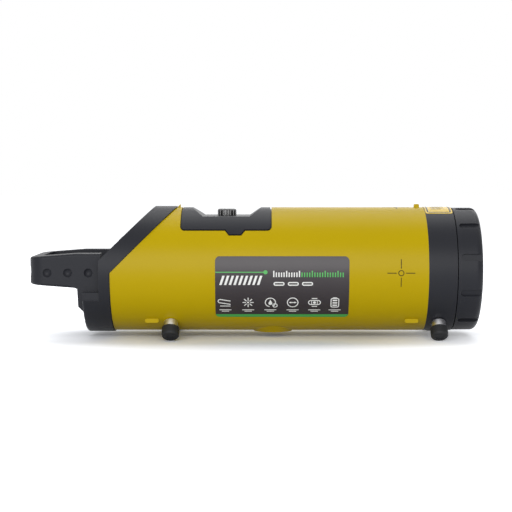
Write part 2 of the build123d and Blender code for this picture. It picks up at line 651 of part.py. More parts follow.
def tripod_insert():
    """Return the steel insert for the tripod thread."""
    body = along_z(INSERT_OD / 2, BASE_Z, BASE_Z + INSERT_LENGTH, BOSS_X, 0)
    return body - along_z(THREAD_D / 2, BASE_Z - OVER, BASE_Z + THREAD_DEPTH, BOSS_X, 0)


write("main_tube", main_tube())
write("tripod_insert", tripod_insert())


# Battery cover, pack, tray and thumb screw

skin_half_width = TRAY_WIDTH / 2 - TRAY_WALL - PACK_GAP
pack_half_length = TRAY_LENGTH / 2 - TRAY_WALL - PACK_GAP
pack_top_z = VALLEY_Z - VALLEY_SKIN
pack_bottom_z = TRAY_FLOOR_Z + TRAY_WALL + CONTACT_T + PACK_GAP
tray_floor_z = TRAY_FLOOR_Z + TRAY_WALL
insert_bottom_z = tray_floor_z - NUT_INSERT_LENGTH
post_x, post_y = MAIN_BOARD_LENGTH / 2 - POST_INSET, MAIN_BOARD_WIDTH / 2 - POST_INSET
tray_posts = [(SADDLE_X + dx * post_x, dy * post_y) for dx in (-1, 1) for dy in (-1, 1)]


def valley(floor_z, grow):
    """Return the points of the cover's valley, moved outwards by grow."""
    floor, mouth = VALLEY_FLOOR / 2 + grow, VALLEY_MOUTH / 2 + grow
    return [(SADDLE_X - mouth, FAR), (SADDLE_X - mouth, TUBE_R), (SADDLE_X - floor, floor_z),
            (SADDLE_X + floor, floor_z), (SADDLE_X + mouth, TUBE_R), (SADDLE_X + mouth, FAR)]


def battery_cover():
    """Return the saddle-shaped cover with the valley that clears the thumb screw."""
    cut = side_profile(valley(VALLEY_Z, 0))
    shell = saddle_outline() & ring_x(TUBE_R, SADDLE_R, 0, TUBE_LENGTH)
    shell += saddle_outline(SADDLE_LIP) & ring_x(SADDLE_R + SADDLE_LIP_T, SADDLE_R, 0, TUBE_LENGTH)
    shell -= cut
    skin = side_profile(valley(pack_top_z, VALLEY_SKIN / 2), skin_half_width) - cut
    skin &= along_x(TUBE_R, 0, TUBE_LENGTH)
    body = shell + skin
    return body - along_z(SCREW_D / 2 + 2 * PIN_GAP, 0, FAR, SADDLE_X, 0)


def pack_case():
    """Return the battery pack's case with the sleeve that the thumb screw passes through."""
    x0, x1 = SADDLE_X - pack_half_length, SADDLE_X + pack_half_length
    y, wall = skin_half_width, PACK_WALL
    body = block(x0, x1, -y, y, pack_bottom_z, pack_top_z)
    body -= block(x0 + wall, x1 - wall, wall - y, y - wall, pack_bottom_z + wall, pack_top_z + OVER)
    body += along_z(SLEEVE_D / 2, pack_bottom_z, pack_top_z, SADDLE_X, 0)
    return body - along_z(SCREW_D / 2 + 2 * PIN_GAP, 0, FAR, SADDLE_X, 0)


def battery_cells():
    """Return four cells in two layers beside the sleeve."""
    low_z = pack_bottom_z + PACK_WALL + CELL_PITCH / 2
    return [along_x(CELL_D / 2, SADDLE_X - CELL_LENGTH / 2, SADDLE_X + CELL_LENGTH / 2, side * CELL_Y,
                    low_z + layer * CELL_PITCH) for side in (-1, 1) for layer in range(2)]


def pack_contacts():
    """Return the two contact plates under the pack."""
    x = SADDLE_X + pack_half_length - CONTACT_SIZE
    return [block(x - CONTACT_SIZE / 2, x + CONTACT_SIZE / 2, y - CONTACT_SIZE / 2, y + CONTACT_SIZE / 2,
                  pack_bottom_z - CONTACT_T, pack_bottom_z) for y in (-CELL_Y, CELL_Y)]


def battery_tray():
    """Return the tray that lines the battery opening, with its flange inside the tube."""
    x0, x1, y = SADDLE_X - TRAY_LENGTH / 2, SADDLE_X + TRAY_LENGTH / 2, TRAY_WIDTH / 2
    inside = block(x0 + TRAY_WALL, x1 - TRAY_WALL, TRAY_WALL - y, y - TRAY_WALL, tray_floor_z, FAR)
    flange = block(x0 - TRAY_FLANGE, x1 + TRAY_FLANGE, -y - TRAY_FLANGE_SIDE, y + TRAY_FLANGE_SIDE, 0, FAR)
    flange &= ring_x(BORE_R, BORE_R - TRAY_FLANGE_T, 0, TUBE_LENGTH)
    body = block(x0, x1, -y, y, TRAY_FLOOR_Z, FAR) & along_x(LEDGE_R, 0, TUBE_LENGTH)
    body = body + flange - inside
    body += along_z(INSERT_D / 2 + INSERT_COVER, insert_bottom_z - INSERT_FLOOR, TRAY_FLOOR_Z, SADDLE_X, 0)
    for px, py in tray_posts:
        body += along_z(TRAY_POST_R, TRAY_FLOOR_Z - MAIN_BOARD_DROP, TRAY_FLOOR_Z, px, py)
    return body - along_z(INSERT_D / 2, insert_bottom_z, tray_floor_z + OVER, SADDLE_X, 0)


def tray_insert():
    """Return the brass threaded insert in the tray's floor."""
    return (along_z(INSERT_D / 2, insert_bottom_z, tray_floor_z, SADDLE_X, 0)
            - along_z(SCREW_D / 2 + PIN_GAP, insert_bottom_z + INSERT_BASE, FAR, SADDLE_X, 0))


def main_board():
    """Return the control board under the tray, with its larger components."""
    top = TRAY_FLOOR_Z - MAIN_BOARD_DROP
    board = block(SADDLE_X - MAIN_BOARD_LENGTH / 2, SADDLE_X + MAIN_BOARD_LENGTH / 2, -MAIN_BOARD_WIDTH / 2,
                  MAIN_BOARD_WIDTH / 2, top - BOARD_T, top)
    under = top - BOARD_T
    chips = [block(SADDLE_X + x - size / 2, SADDLE_X + x + size / 2, y - size / 2, y + size / 2,
                   under - height, under) for x, y, size, height in CHIPS]
    return [board] + chips


def thumb_screw():
    """Return the fluted knob with its long captive screw."""
    seat = VALLEY_Z + SEAT_GAP
    knob = along_z(KNOB_D / 2, seat, seat + KNOB_HEIGHT, SADDLE_X, 0)
    knob = fillet(knob.edges().group_by(Axis.Z)[-1], KNOB_DOME)
    for count in range(KNOB_FLUTES):
        angle = 2 * pi * count / KNOB_FLUTES
        knob -= along_z(KNOB_FLUTE_R, seat - OVER, seat + KNOB_HEIGHT + OVER,
                        SADDLE_X + KNOB_D / 2 * cos(angle), KNOB_D / 2 * sin(angle))
    low = insert_bottom_z + SCREW_END_GAP
    knob += along_z(SCREW_D / 2 - THREAD_CUT, low, low + THREAD_RUN, SADDLE_X, 0)
    return knob + along_z(SCREW_D / 2, low + THREAD_RUN, seat + OVER, SADDLE_X, 0)


write("battery_cover", battery_cover())
write("pack_case", pack_case())
write("battery_cells", *battery_cells())
write("pack_contacts", *pack_contacts())
write("battery_tray", battery_tray())
write("tray_insert", tray_insert())
write("main_board", *main_board())
write("thumb_screw", thumb_screw())


# Feet


def leg():
    """Return a foot's plated shank, stud and nose, standing along Z from the tube's axis."""
    seat = TUBE_R + SEAT_GAP
    shank = along_z(LEG_D / 2, seat, TUBE_R + LEG_EXPOSED, 0, 0)
    shank = chamfer(shank.edges().group_by(Axis.Z)[0], LEG_CHAMFER)
    body = shank + along_z(LEG_STUD_D / 2 - THREAD_CUT, TUBE_R - LEG_STUD_LENGTH, seat, 0, 0)
    body += along_z(NOSE_R, TUBE_R + LEG_EXPOSED, TUBE_R + LEG_EXPOSED + TIP_LENGTH / 2, 0, 0)
    hole = Rot(0, 90, CROSS_HOLE_TURN) * Cylinder(CROSS_HOLE_D / 2, FAR)
    return body - Pos(0, 0, TUBE_R + LEG_EXPOSED / 2) * hole


def leg_tip():
    """Return a foot's rubber tip."""
    start = TUBE_R + LEG_EXPOSED
    body = along_z(TIP_D / 2, start, start + TIP_LENGTH, 0, 0)
    body = fillet(body.edges().group_by(Axis.Z)[-1], TIP_EDGE_R)
    body -= along_z(TIP_DISH_D / 2, start + TIP_LENGTH - TIP_DISH, start + TIP_LENGTH + OVER, 0, 0)
    return body - along_z(NOSE_R, start - OVER, start + TIP_LENGTH / 2, 0, 0)


for place, leg_x in (("rear", LEG_REAR_X), ("front", LEG_FRONT_X)):
    for hand, leg_side in (("near", -1), ("far", 1)):
        write(f"{place}_{hand}_leg", leg_plane(leg_x, leg_side) * leg())
        write(f"{place}_{hand}_tip", leg_plane(leg_x, leg_side) * leg_tip())


# Front collar, cap, window, label and plate

glass_front_x = FRONT_X - GLASS_SETBACK
glass_rear_x = glass_front_x - GLASS_T
glass_ring_x = glass_rear_x - RING_T
lip_r = COLLAR_R - LIP_WALL


def front_collar():
    """Return the collar that plugs into the tube, carries the front feet and holds the cap."""
    inner = COLLAR_R - COLLAR_WALL
    body = ring_x(COLLAR_R, inner, COLLAR_X, COLLAR_X + COLLAR_LENGTH)
    body += ring_x(BORE_R - SPIGOT_GAP, inner, COLLAR_X - COLLAR_SPIGOT, COLLAR_X)
    body += ring_x(lip_r, inner, COLLAR_X + COLLAR_LENGTH, glass_ring_x - SEAT_GAP)
    for side in (-1, 1):
        body -= leg_bore(LEG_FRONT_X, side)
    return body


def front_cap():
    """Return the cap round the window, with its finger grooves and rounded rim."""
    body = along_x(CAP_R, CAP_X, FRONT_X)
    body = fillet(body.edges().filter_by(GeomType.CIRCLE).group_by(Axis.X)[-1], CAP_RIM_R)
    half = CAP_GROOVE_WIDTH / 2
    start = CAP_X + CAP_GROOVE_START + half
    groove = block(start, FRONT_X + OVER, -half, half, CAP_R - CAP_GROOVE_DEPTH, CAP_R + OVER)
    groove += along_z(half, CAP_R - CAP_GROOVE_DEPTH, CAP_R + OVER, start, 0)
    for count in range(CAP_GROOVES):
        body -= Rot(90 - CAP_GROOVE_FIRST + count * 360 / CAP_GROOVES, 0, 0) * groove
    body -= along_x(CAP_BORE_R, CAP_X - OVER, FRONT_X + OVER)
    body -= along_x(GLASS_R, glass_ring_x, glass_front_x)
    return body - along_x(lip_r, CAP_X - OVER, glass_ring_x)


def wrapped_sheet(x0, x1, low_angle, high_angle, radius, corner):
    """Return a thin rounded sheet wrapped on the near side; angles go up from the near side."""
    middle, half = radians((low_angle + high_angle) / 2), radians((high_angle - low_angle) / 2)
    sheet = ring_x(radius + LABEL_T, radius, x0, x1)
    # The flat outline's height is the sheet's straight-line height, seen square on.
    height = 2 * (radius + LABEL_T) * sin(half)
    outline = Plane(origin=((x0 + x1) / 2, 0, 0), x_dir=(1, 0, 0), z_dir=(0, -cos(middle), sin(middle)))
    return sheet & (outline * extrude(RectangleRounded(x1 - x0, height, corner), amount=FAR))


write("front_collar", front_collar())
write("front_cap", front_cap())
write("window_glass", along_x(GLASS_R, glass_rear_x, glass_front_x))
write("window_ring", ring_x(GLASS_R, CAP_BORE_R - RING_LAP, glass_ring_x, glass_rear_x))
write("side_label", wrapped_sheet(LABEL_X - LABEL_LENGTH / 2, LABEL_X + LABEL_LENGTH / 2, LABEL_BOTTOM_ANGLE,
                                  LABEL_TOP_ANGLE, TUBE_R, LABEL_CORNER_R))
write("top_plate", wrapped_sheet(COLLAR_X + PLATE_INSET, COLLAR_X + COLLAR_LENGTH - PLATE_INSET,
                                 90 - PLATE_ANGLE, 90 + PLATE_ANGLE, COLLAR_R, LABEL_CORNER_R / 2))


# Chassis inside the tube

ring_x0, ring_x1 = GIMBAL_X - RING_HALF_LENGTH, GIMBAL_X + RING_HALF_LENGTH
bridge_top_z = YOKE_BRIDGE_Z + YOKE_PLATE
line_screw_x = GIMBAL_X - LINE_ARM
grade_screw_x = GIMBAL_X - GRADE_ARM
yoke_wall_x = GIMBAL_X - YOKE_REAR
yoke_outer = YOKE_INNER + YOKE_PLATE
bulkhead_front_x = BULKHEAD_X + BULKHEAD_T


def bulkhead():
    """Return the disc that carries the line drive, flat at the bottom to pass the base boss."""
    body = along_x(BORE_R, BULKHEAD_X, bulkhead_front_x)
    body -= block(BULKHEAD_X - OVER, bulkhead_front_x + OVER, -FAR, FAR, -FAR, BULKHEAD_CUT_Z)
    return body - along_x(CABLE_HOLE_R, BULKHEAD_X - OVER, bulkhead_front_x + OVER, 0, -LINE_SCREW_Z)


def gimbal_ring():
    """Return the ring in the tube with the two arms that hold the line pins."""
    body = ring_x(BORE_R, BORE_R - RING_WALL, ring_x0, ring_x1)
    for side in (-1, 1):
        arm = block(GIMBAL_X - ARM_WIDTH / 2, GIMBAL_X + ARM_WIDTH / 2, -ARM_WIDTH / 2, ARM_WIDTH / 2,
                    side * (bridge_top_z + SEAT_GAP), side * BORE_R)
        body += arm & along_x(BORE_R, ring_x0, ring_x1)
        body -= along_z(PIN_D / 2, 0, side * (BORE_R - LINE_PIN_SKIN), GIMBAL_X, 0)
    return body


def line_bracket():
    """Return the two cheeks on the bulkhead that hold the line screw, joined by a foot plate."""
    low, high = LINE_SCREW_Z - LINE_CHEEK_DROP, LINE_SCREW_Z + LINE_CHEEK_RISE
    end = line_screw_x + NUT_WIDTH
    body = block(bulkhead_front_x, end, -CHEEK_Y - CHEEK_T, CHEEK_Y + CHEEK_T, low, low + CHEEK_T)
    for side in (-1, 1):
        body += block(bulkhead_front_x, end, side * CHEEK_Y, side * (CHEEK_Y + CHEEK_T), low, high)
    return body - along_y(LEAD_SCREW_D / 2 + PIN_GAP, -CHEEK_Y - CHEEK_T - OVER, CHEEK_Y + CHEEK_T + OVER,
                          line_screw_x, LINE_SCREW_Z)


def lead_screw(along, low, high, journal, *place):
    """Return a lead screw: the core of its thread, with a full-size journal at each end."""
    radius = LEAD_SCREW_D / 2
    body = along(radius - THREAD_CUT, low, high, *place)
    return body + along(radius, low, low + journal, *place) + along(radius, high - journal, high, *place)


write("bulkhead", bulkhead())
write("side_rails", *[block(bulkhead_front_x, ring_x0, side * RAIL_Y, side * (RAIL_Y + RAIL_WIDTH),
                            -RAIL_HEIGHT / 2, RAIL_HEIGHT / 2) for side in (-1, 1)])
write("gimbal_ring", gimbal_ring())
write("line_pins", *[along_z(PIN_D / 2, side * (YOKE_BRIDGE_Z - LINE_PIN_PROUD),
                             side * (BORE_R - LINE_PIN_SKIN), GIMBAL_X, 0) for side in (-1, 1)])
write("line_bracket", line_bracket())
write("line_motor", along_y(MOTOR_D / 2, CHEEK_Y + CHEEK_T, CHEEK_Y + CHEEK_T + LINE_MOTOR_LENGTH,
                            line_screw_x, LINE_SCREW_Z))
write("line_screw", lead_screw(along_y, -CHEEK_Y - CHEEK_T, CHEEK_Y + CHEEK_T - MOTOR_GAP, CHEEK_T,
                               line_screw_x, LINE_SCREW_Z))


def line_nut():
    """Return the nut on the line screw, with the pin that drives the yoke's tongue."""
    half = NUT_WIDTH / 2
    body = block(line_screw_x - half, line_screw_x + half, -half, half, LINE_SCREW_Z - half,
                 LINE_SCREW_Z + half + NUT_CROWN)
    body += along_z(DRIVE_PIN_D / 2, LINE_SCREW_Z + half, TONGUE_T / 2 + DRIVE_PIN_PROUD, line_screw_x, 0)
    return body - along_y(LEAD_SCREW_D / 2 + PIN_GAP, -FAR, FAR, line_screw_x, LINE_SCREW_Z)


write("line_nut", line_nut())


# Yoke, grade drive and beam barrel


def yoke():
    """Return the line yoke: side plates, bridges, rear wall, shelves and the slotted tongue."""
    front, wall = GIMBAL_X + YOKE_FRONT, yoke_wall_x + YOKE_PLATE
    body = block(yoke_wall_x, wall, -yoke_outer, yoke_outer, -YOKE_HALF_HEIGHT, YOKE_HALF_HEIGHT)
    body += block(yoke_wall_x, wall, -SHELF_HALF_WIDTH, SHELF_HALF_WIDTH, SHELF_BOTTOM_Z - YOKE_PLATE,
                  SHELF_TOP_Z + YOKE_PLATE)
    for side in (-1, 1):
        body += block(yoke_wall_x, front, side * YOKE_INNER, side * yoke_outer, -YOKE_HALF_HEIGHT,
                      YOKE_HALF_HEIGHT)
        body += block(GIMBAL_X - YOKE_FRONT, front, side * YOKE_INNER, side * yoke_outer, -bridge_top_z,
                      bridge_top_z)
        body += block(GIMBAL_X - YOKE_FRONT + BRIDGE_INSET, front - BRIDGE_INSET, -yoke_outer, yoke_outer,
                      side * YOKE_BRIDGE_Z, side * bridge_top_z)
    shelf_end = wall + SHELF_REACH
    body += block(yoke_wall_x, shelf_end, -SHELF_HALF_WIDTH, SHELF_HALF_WIDTH, SHELF_TOP_Z,
                  SHELF_TOP_Z + YOKE_PLATE)
    body += block(yoke_wall_x, shelf_end, -SHELF_HALF_WIDTH, SHELF_HALF_WIDTH,
                  SHELF_BOTTOM_Z - YOKE_PLATE, SHELF_BOTTOM_Z)
    body += block(GIMBAL_X - TONGUE_END, yoke_wall_x, -TONGUE_WIDTH / 2, TONGUE_WIDTH / 2, -TONGUE_T / 2,
                  TONGUE_T / 2)
    slot = SlotCenterToCenter(2 * LINE_SLOT_REACH, DRIVE_PIN_D + 2 * LINE_SLOT_GAP)
    body -= Pos(line_screw_x, 0, 0) * extrude(slot, amount=TONGUE_T, both=True)
    body -= along_z(LEAD_SCREW_D / 2 + PIN_GAP, SHELF_BOTTOM_Z - YOKE_PLATE - OVER,
                    SHELF_TOP_Z + YOKE_PLATE + OVER, grade_screw_x, 0)
    body -= along_z(BUSH_D / 2, -FAR, FAR, GIMBAL_X, 0)
    return body - along_y(BUSH_D / 2, -FAR, FAR, GIMBAL_X, 0)


def bushes():
    """Return the four flat bushes of the line and grade pivots."""
    made = []
    for side in (-1, 1):
        made.append(along_z(BUSH_D / 2, side * YOKE_BRIDGE_Z, side * bridge_top_z, GIMBAL_X, 0)
                    - along_z(PIN_D / 2 + PIN_GAP, 0, side * FAR, GIMBAL_X, 0))
        made.append(along_y(BUSH_D / 2, side * YOKE_INNER, side * yoke_outer, GIMBAL_X, 0)
                    - along_y(PIN_D / 2 + PIN_GAP, 0, side * FAR, GIMBAL_X, 0))
    return made


def grade_nut():
    """Return the nut on the grade screw, with the cross pin that swings the barrel's fork."""
    half, rise = NUT_WIDTH / 2, NUT_HEIGHT / 2
    body = block(grade_screw_x - half, grade_screw_x + half, -half, half, -rise, rise)
    pin_end = FORK_OUTER + DRIVE_PIN_PROUD
    body += along_y(DRIVE_PIN_D / 2, -pin_end, pin_end, grade_screw_x, 0)
    return body - along_z(LEAD_SCREW_D / 2 + PIN_GAP, -FAR, FAR, grade_screw_x, 0)


def rear_fork():
    """Return the fork behind the barrel, with the slots that the nut's pin rides in."""
    plug_x = GIMBAL_X - BARREL_REAR
    body = along_x(BARREL_D / 2, plug_x - FORK_PLATE, plug_x)
    for side in (-1, 1):
        body += block(GIMBAL_X - FORK_END, plug_x - FORK_PLATE, side * (FORK_OUTER - FORK_PLATE),
                      side * FORK_OUTER, -FORK_HALF_HEIGHT, FORK_HALF_HEIGHT)
    # At the steepest grade the pin lies further along the fork.
    reach = GRADE_ARM / cos(radians(GRADE_UP)) - GRADE_ARM
    slot = SlotCenterToCenter(reach + 2 * GRADE_SLOT_GAP, DRIVE_PIN_D + 2 * GRADE_SLOT_GAP)
    return body - extrude(Plane.XZ * Pos(grade_screw_x - reach / 2, 0) * slot, amount=FAR, both=True)


def laser_barrel():
    """Return the beam barrel with a flat for its level sensor and bores for the grade pins."""
    x0, x1 = GIMBAL_X - BARREL_REAR, GIMBAL_X + BARREL_FRONT
    body = ring_x(BARREL_D / 2, BARREL_BORE / 2, x0, x1)
    body -= block(x0 + SENSOR_X, x0 + SENSOR_X + SENSOR_LENGTH, -BARREL_D, BARREL_D, SENSOR_Z, BARREL_D)
    return body - along_y(PIN_D / 2, -BARREL_D, BARREL_D, GIMBAL_X, 0)


def level_sensor():
    """Return the grade sensor: a vial on a small base."""
    x0 = GIMBAL_X - BARREL_REAR + SENSOR_X
    width = SENSOR_WIDTH / 2
    top = SENSOR_Z + SENSOR_BASE
    base = block(x0, x0 + SENSOR_LENGTH, -width, width, SENSOR_Z, top)
    vial = along_x(SENSOR_VIAL_D / 2, x0 + SENSOR_BASE, x0 + SENSOR_LENGTH - SENSOR_BASE, 0,
                   top + SENSOR_VIAL_D / 2 - VIAL_SINK)
    return base + vial


barrel_rear_x, barrel_front_x = GIMBAL_X - BARREL_REAR, GIMBAL_X + BARREL_FRONT
write("yoke", yoke())
write("pivot_bushes", *bushes())
write("grade_motor", along_z(MOTOR_D / 2, SHELF_TOP_Z + YOKE_PLATE, SHELF_TOP_Z + YOKE_PLATE
                             + GRADE_MOTOR_LENGTH, grade_screw_x, 0))
write("grade_screw", lead_screw(along_z, SHELF_BOTTOM_Z - YOKE_PLATE,
                                SHELF_TOP_Z + YOKE_PLATE - MOTOR_GAP, YOKE_PLATE, grade_screw_x, 0))
write("grade_nut", grade_nut())
write("rear_fork", rear_fork())
write("laser_barrel", laser_barrel())
write("grade_pins", *[along_y(PIN_D / 2, side * BARREL_BORE / 2, side * (yoke_outer + GRADE_PIN_PROUD),
                              GIMBAL_X, 0) for side in (-1, 1)])
write("laser_module", along_x(BARREL_BORE / 2, barrel_rear_x, barrel_rear_x + MODULE_LENGTH))
write("beam_lens", along_x(BARREL_BORE / 2, barrel_front_x - LENS_SETBACK - LENS_T,
                            barrel_front_x - LENS_SETBACK))
write("level_sensor", level_sensor())
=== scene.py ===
"""Looks of the pipe laser: coats, mouldings, printed marks, screw threads and the studio round it."""
from math import asin, ceil, cos, degrees, hypot, pi, radians, sin, sqrt

import bmesh
import bpy
from mathutils import Matrix, Vector


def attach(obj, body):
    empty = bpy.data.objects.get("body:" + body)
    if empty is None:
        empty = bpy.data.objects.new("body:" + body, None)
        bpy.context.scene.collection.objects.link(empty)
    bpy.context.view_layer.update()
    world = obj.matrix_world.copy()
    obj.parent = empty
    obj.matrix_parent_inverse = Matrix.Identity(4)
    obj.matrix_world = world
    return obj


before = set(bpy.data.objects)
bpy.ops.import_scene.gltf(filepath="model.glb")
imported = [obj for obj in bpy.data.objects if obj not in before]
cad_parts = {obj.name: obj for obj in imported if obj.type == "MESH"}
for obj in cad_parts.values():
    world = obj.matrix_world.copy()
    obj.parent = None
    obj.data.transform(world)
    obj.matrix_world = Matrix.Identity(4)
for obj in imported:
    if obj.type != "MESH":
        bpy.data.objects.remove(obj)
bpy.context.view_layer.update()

MM = 1000.0                   # millimetres in a metre

# Sizes of the part that the printed marks and threads follow, in millimetres and degrees. The marks are
# drawn from the middle of the tube's axis: x along it towards the beam, z up, near side at -y.
MIDDLE_X = 138.525
AXIS_HEIGHT = 67.3257
TUBE_R = 61.2
COLLAR_R = 61.3
FILM = 0.3                    # thickness of the label and the top plate
FILM_R = TUBE_R + FILM
COLLAR_FILM_R = COLLAR_R + FILM
LABEL_X, LABEL_LENGTH = 164.8, 128.2
LABEL_LOW, LABEL_CORNER = -45.6, 4.0
PLATE_X, PLATE_LENGTH, PLATE_ANGLE = 318.65, 26.3, 24.5
GIMBAL_X = 278.4
PANEL_X, PANEL_Z = 13.4, 36.0
KEY_TOP = 1.3                 # the keys' tops over the panel
KEYS_PER_ROW = 4
KEY_SPACING, KEY_ROW_SPACING, FIRST_KEY_ROW = 14.0, 10.0, -8.0
SCREEN_LEVEL = -3.0           # the display under the panel
SADDLE_X = 110.65
BOSS_X, BOSS_BORE_Z = 156.4, -61.4
FOOT_X = {"rear": 56.75, "front": 317.2}
FOOT_ANGLE = radians(37.0)
STUD_START = 53.4             # where a foot's thread begins, out from the tube's axis
LEAD, STARTS = 10.0, 4        # of the two lead screws
INK = 0.06                    # thickness of a printed mark
INK_SINK = 0.02               # how far its underside goes into the film
CURVE_STEP = 1.5              # how finely a mark is cut where it follows the tube
CROSS_LINE = 0.75             # line width of the cross marks on the tube
KEY_LINE = 0.45               # line width of the key symbols


def metres(x, y, z):
    """Return a place given in millimetres about the tube's axis as metres in the part's frame."""
    return Vector(((x - MIDDLE_X) / MM, y / MM, (z + AXIS_HEIGHT) / MM))


def on_panel(u, v, w):
    """Return a place on the slanted key panel: u to the user's right, v up the slope, w outwards."""
    slope = sqrt(0.5)
    return metres(PANEL_X + (v - w) * slope, -u, PANEL_Z + (v + w) * slope)


def wrap(x, v, w, radius, middle=0.0):
    """Return a place on the tube: v millimetres round it, upwards from the angle given, w outwards."""
    angle = radians(middle) + v / radius
    return metres(x, -(radius + w) * cos(angle), (radius + w) * sin(angle))


# Shader groups shared by the finishes

def group(name, inputs, outputs):
    """Return a new shader group with its sockets, and its input and output nodes."""
    tree = bpy.data.node_groups.new(name, "ShaderNodeTree")
    for label, kind, value in inputs:
        socket = tree.interface.new_socket(label, in_out="INPUT", socket_type=kind)
        if value is not None:
            socket.default_value = value
    for label, kind in outputs:
        tree.interface.new_socket(label, in_out="OUTPUT", socket_type=kind)
    return tree, tree.nodes.new("NodeGroupInput"), tree.nodes.new("NodeGroupOutput")


def add(tree, kind, **settings):
    """Return a new node with its settings; 'sockets' holds its socket values by name."""
    node = tree.nodes.new(kind)
    for name, value in settings.pop("sockets", {}).items():
        node.inputs[name].default_value = value
    for name, value in settings.items():
        setattr(node, name, value)
    return node


def sums(tree, operation, first, second):
    """Return the output of a math node fed by two sockets or numbers."""
    node = add(tree, "ShaderNodeMath", operation=operation)
    for slot, value in zip(node.inputs, (first, second)):
        if isinstance(value, (int, float)):
            slot.default_value = value
        else:
            tree.links.new(value, slot)
    return node.outputs[0]


def noise(tree, place, scale, detail=2.0, roughness=0.5):
    """Return the noise value at a place, with the scale a number or a socket."""
    node = add(tree, "ShaderNodeTexNoise", sockets={"Detail": detail, "Roughness": roughness})
    tree.links.new(place, node.inputs["Vector"])
    if isinstance(scale, (int, float)):
        node.inputs["Scale"].default_value = scale
    else:
        tree.links.new(scale, node.inputs["Scale"])
    return node.outputs["Fac"]


def grain_group():
    """Fine moulded or sprayed grain: a height, and a tone near 1 that drifts slowly over the surface."""
    tree, given, result = group("Surface Grain", [
        ("Place", "NodeSocketVector", None), ("Grain Size mm", "NodeSocketFloat", 0.5),
        ("Drift Size mm", "NodeSocketFloat", 30.0), ("Drift", "NodeSocketFloat", 0.06),
        ("Speckle", "NodeSocketFloat", 0.05)],
        [("Height", "NodeSocketFloat"), ("Tone", "NodeSocketFloat")])
    fine = noise(tree, given.outputs["Place"], sums(tree, "DIVIDE", MM, given.outputs["Grain Size mm"]),
                 3.0, 0.6)
    slow = noise(tree, given.outputs["Place"], sums(tree, "DIVIDE", MM, given.outputs["Drift Size mm"]))
    drift = sums(tree, "MULTIPLY", sums(tree, "SUBTRACT", slow, 0.5), given.outputs["Drift"])
    speckle = sums(tree, "MULTIPLY", sums(tree, "SUBTRACT", fine, 0.5), given.outputs["Speckle"])
    tone = sums(tree, "ADD", 1.0, sums(tree, "ADD", sums(tree, "MULTIPLY", drift, 2.0),
                                       sums(tree, "MULTIPLY", speckle, 2.0)))
    tree.links.new(fine, result.inputs["Height"])
    tree.links.new(tone, result.inputs["Tone"])
    return tree


def machining_group():
    """Tool marks on turned and milled metal: a height and a roughness that vary in fine lines."""
    tree, given, result = group("Machining Marks", [
        ("Place", "NodeSocketVector", None), ("Line Pitch mm", "NodeSocketFloat", 0.25),
        ("Stretch", "NodeSocketVector", (1.0, 0.05, 0.05)), ("Roughness", "NodeSocketFloat", 0.3),
        ("Spread", "NodeSocketFloat", 0.15)],
        [("Height", "NodeSocketFloat"), ("Roughness", "NodeSocketFloat")])
    lie = add(tree, "ShaderNodeVectorMath", operation="MULTIPLY")
    tree.links.new(given.outputs["Place"], lie.inputs[0])
    tree.links.new(given.outputs["Stretch"], lie.inputs[1])
    lines = noise(tree, lie.outputs["Vector"], sums(tree, "DIVIDE", MM, given.outputs["Line Pitch mm"]),
                  2.0)
    spread = sums(tree, "MULTIPLY", sums(tree, "SUBTRACT", lines, 0.5), given.outputs["Spread"])
    tree.links.new(lines, result.inputs["Height"])
    tree.links.new(sums(tree, "ADD", given.outputs["Roughness"], spread), result.inputs["Roughness"])
    return tree


HIGHLIGHT_PATCHES = 700.0           # noise scale, per metre, that breaks up the painted edge highlights
SMEARS = 90.0                 # and that of the smears on glass


def painted_highlight_group():
    """Painted highlight on edges: 1 on sharp outer edges and 0 on the flats, broken up by a fine noise; it
    lightens edges as if they caught the light.
    """
    tree, given, result = group("Painted Edge Highlight", [
        ("Place", "NodeSocketVector", None), ("Width mm", "NodeSocketFloat", 0.6),
        ("Amount", "NodeSocketFloat", 0.6)], [("Mask", "NodeSocketFloat")])
    rounded = add(tree, "ShaderNodeBevel", samples=4)
    tree.links.new(sums(tree, "DIVIDE", given.outputs["Width mm"], MM), rounded.inputs["Radius"])
    flat = add(tree, "ShaderNodeNewGeometry")
    turn = add(tree, "ShaderNodeVectorMath", operation="DOT_PRODUCT")
    tree.links.new(rounded.outputs[0], turn.inputs[0])
    tree.links.new(flat.outputs["True Normal"], turn.inputs[1])
    edge = sums(tree, "MULTIPLY", sums(tree, "SUBTRACT", 1.0, turn.outputs["Value"]), 4.0)
    patchy = noise(tree, given.outputs["Place"], HIGHLIGHT_PATCHES, 3.0)
    mask = sums(tree, "MULTIPLY", sums(tree, "MINIMUM", edge, 1.0), sums(tree, "MULTIPLY", patchy, 1.6))
    tree.links.new(sums(tree, "MULTIPLY", mask, given.outputs["Amount"]), result.inputs["Mask"])
    return tree


grain, machining, painted_edge_highlight = grain_group(), machining_group(), painted_highlight_group()


# Finishes

def srgb(red, green, blue):
    """Return a colour given as 0 to 255 values in the shader's linear numbers."""
    return tuple(((c / 255 + 0.055) / 1.055) ** 2.4 if c > 10 else c / 3294.6 for c in (red, green, blue))


def bare_material(title, **sockets):
    """Return a material with one principled shader, its tree, that shader and the object's coordinates."""
    made = bpy.data.materials.new(title)
    made.use_nodes = True
    tree = made.node_tree
    tree.nodes.clear()
    end = tree.nodes.new("ShaderNodeOutputMaterial")
    named = {name.replace("_", " "): value for name, value in sockets.items()}
    shader = add(tree, "ShaderNodeBsdfPrincipled", sockets=named)
    tree.links.new(shader.outputs[0], end.inputs["Surface"])
    return made, tree, shader, add(tree, "ShaderNodeTexCoord").outputs["Object"]


def place_group(tree, shared, place, **values):
    """Return a placed copy of a shared group with its own values."""
    node = add(tree, "ShaderNodeGroup", node_tree=shared)
    tree.links.new(place, node.inputs["Place"])
    for name, value in values.items():
        node.inputs[name.replace("_", " ")].default_value = value
    return node


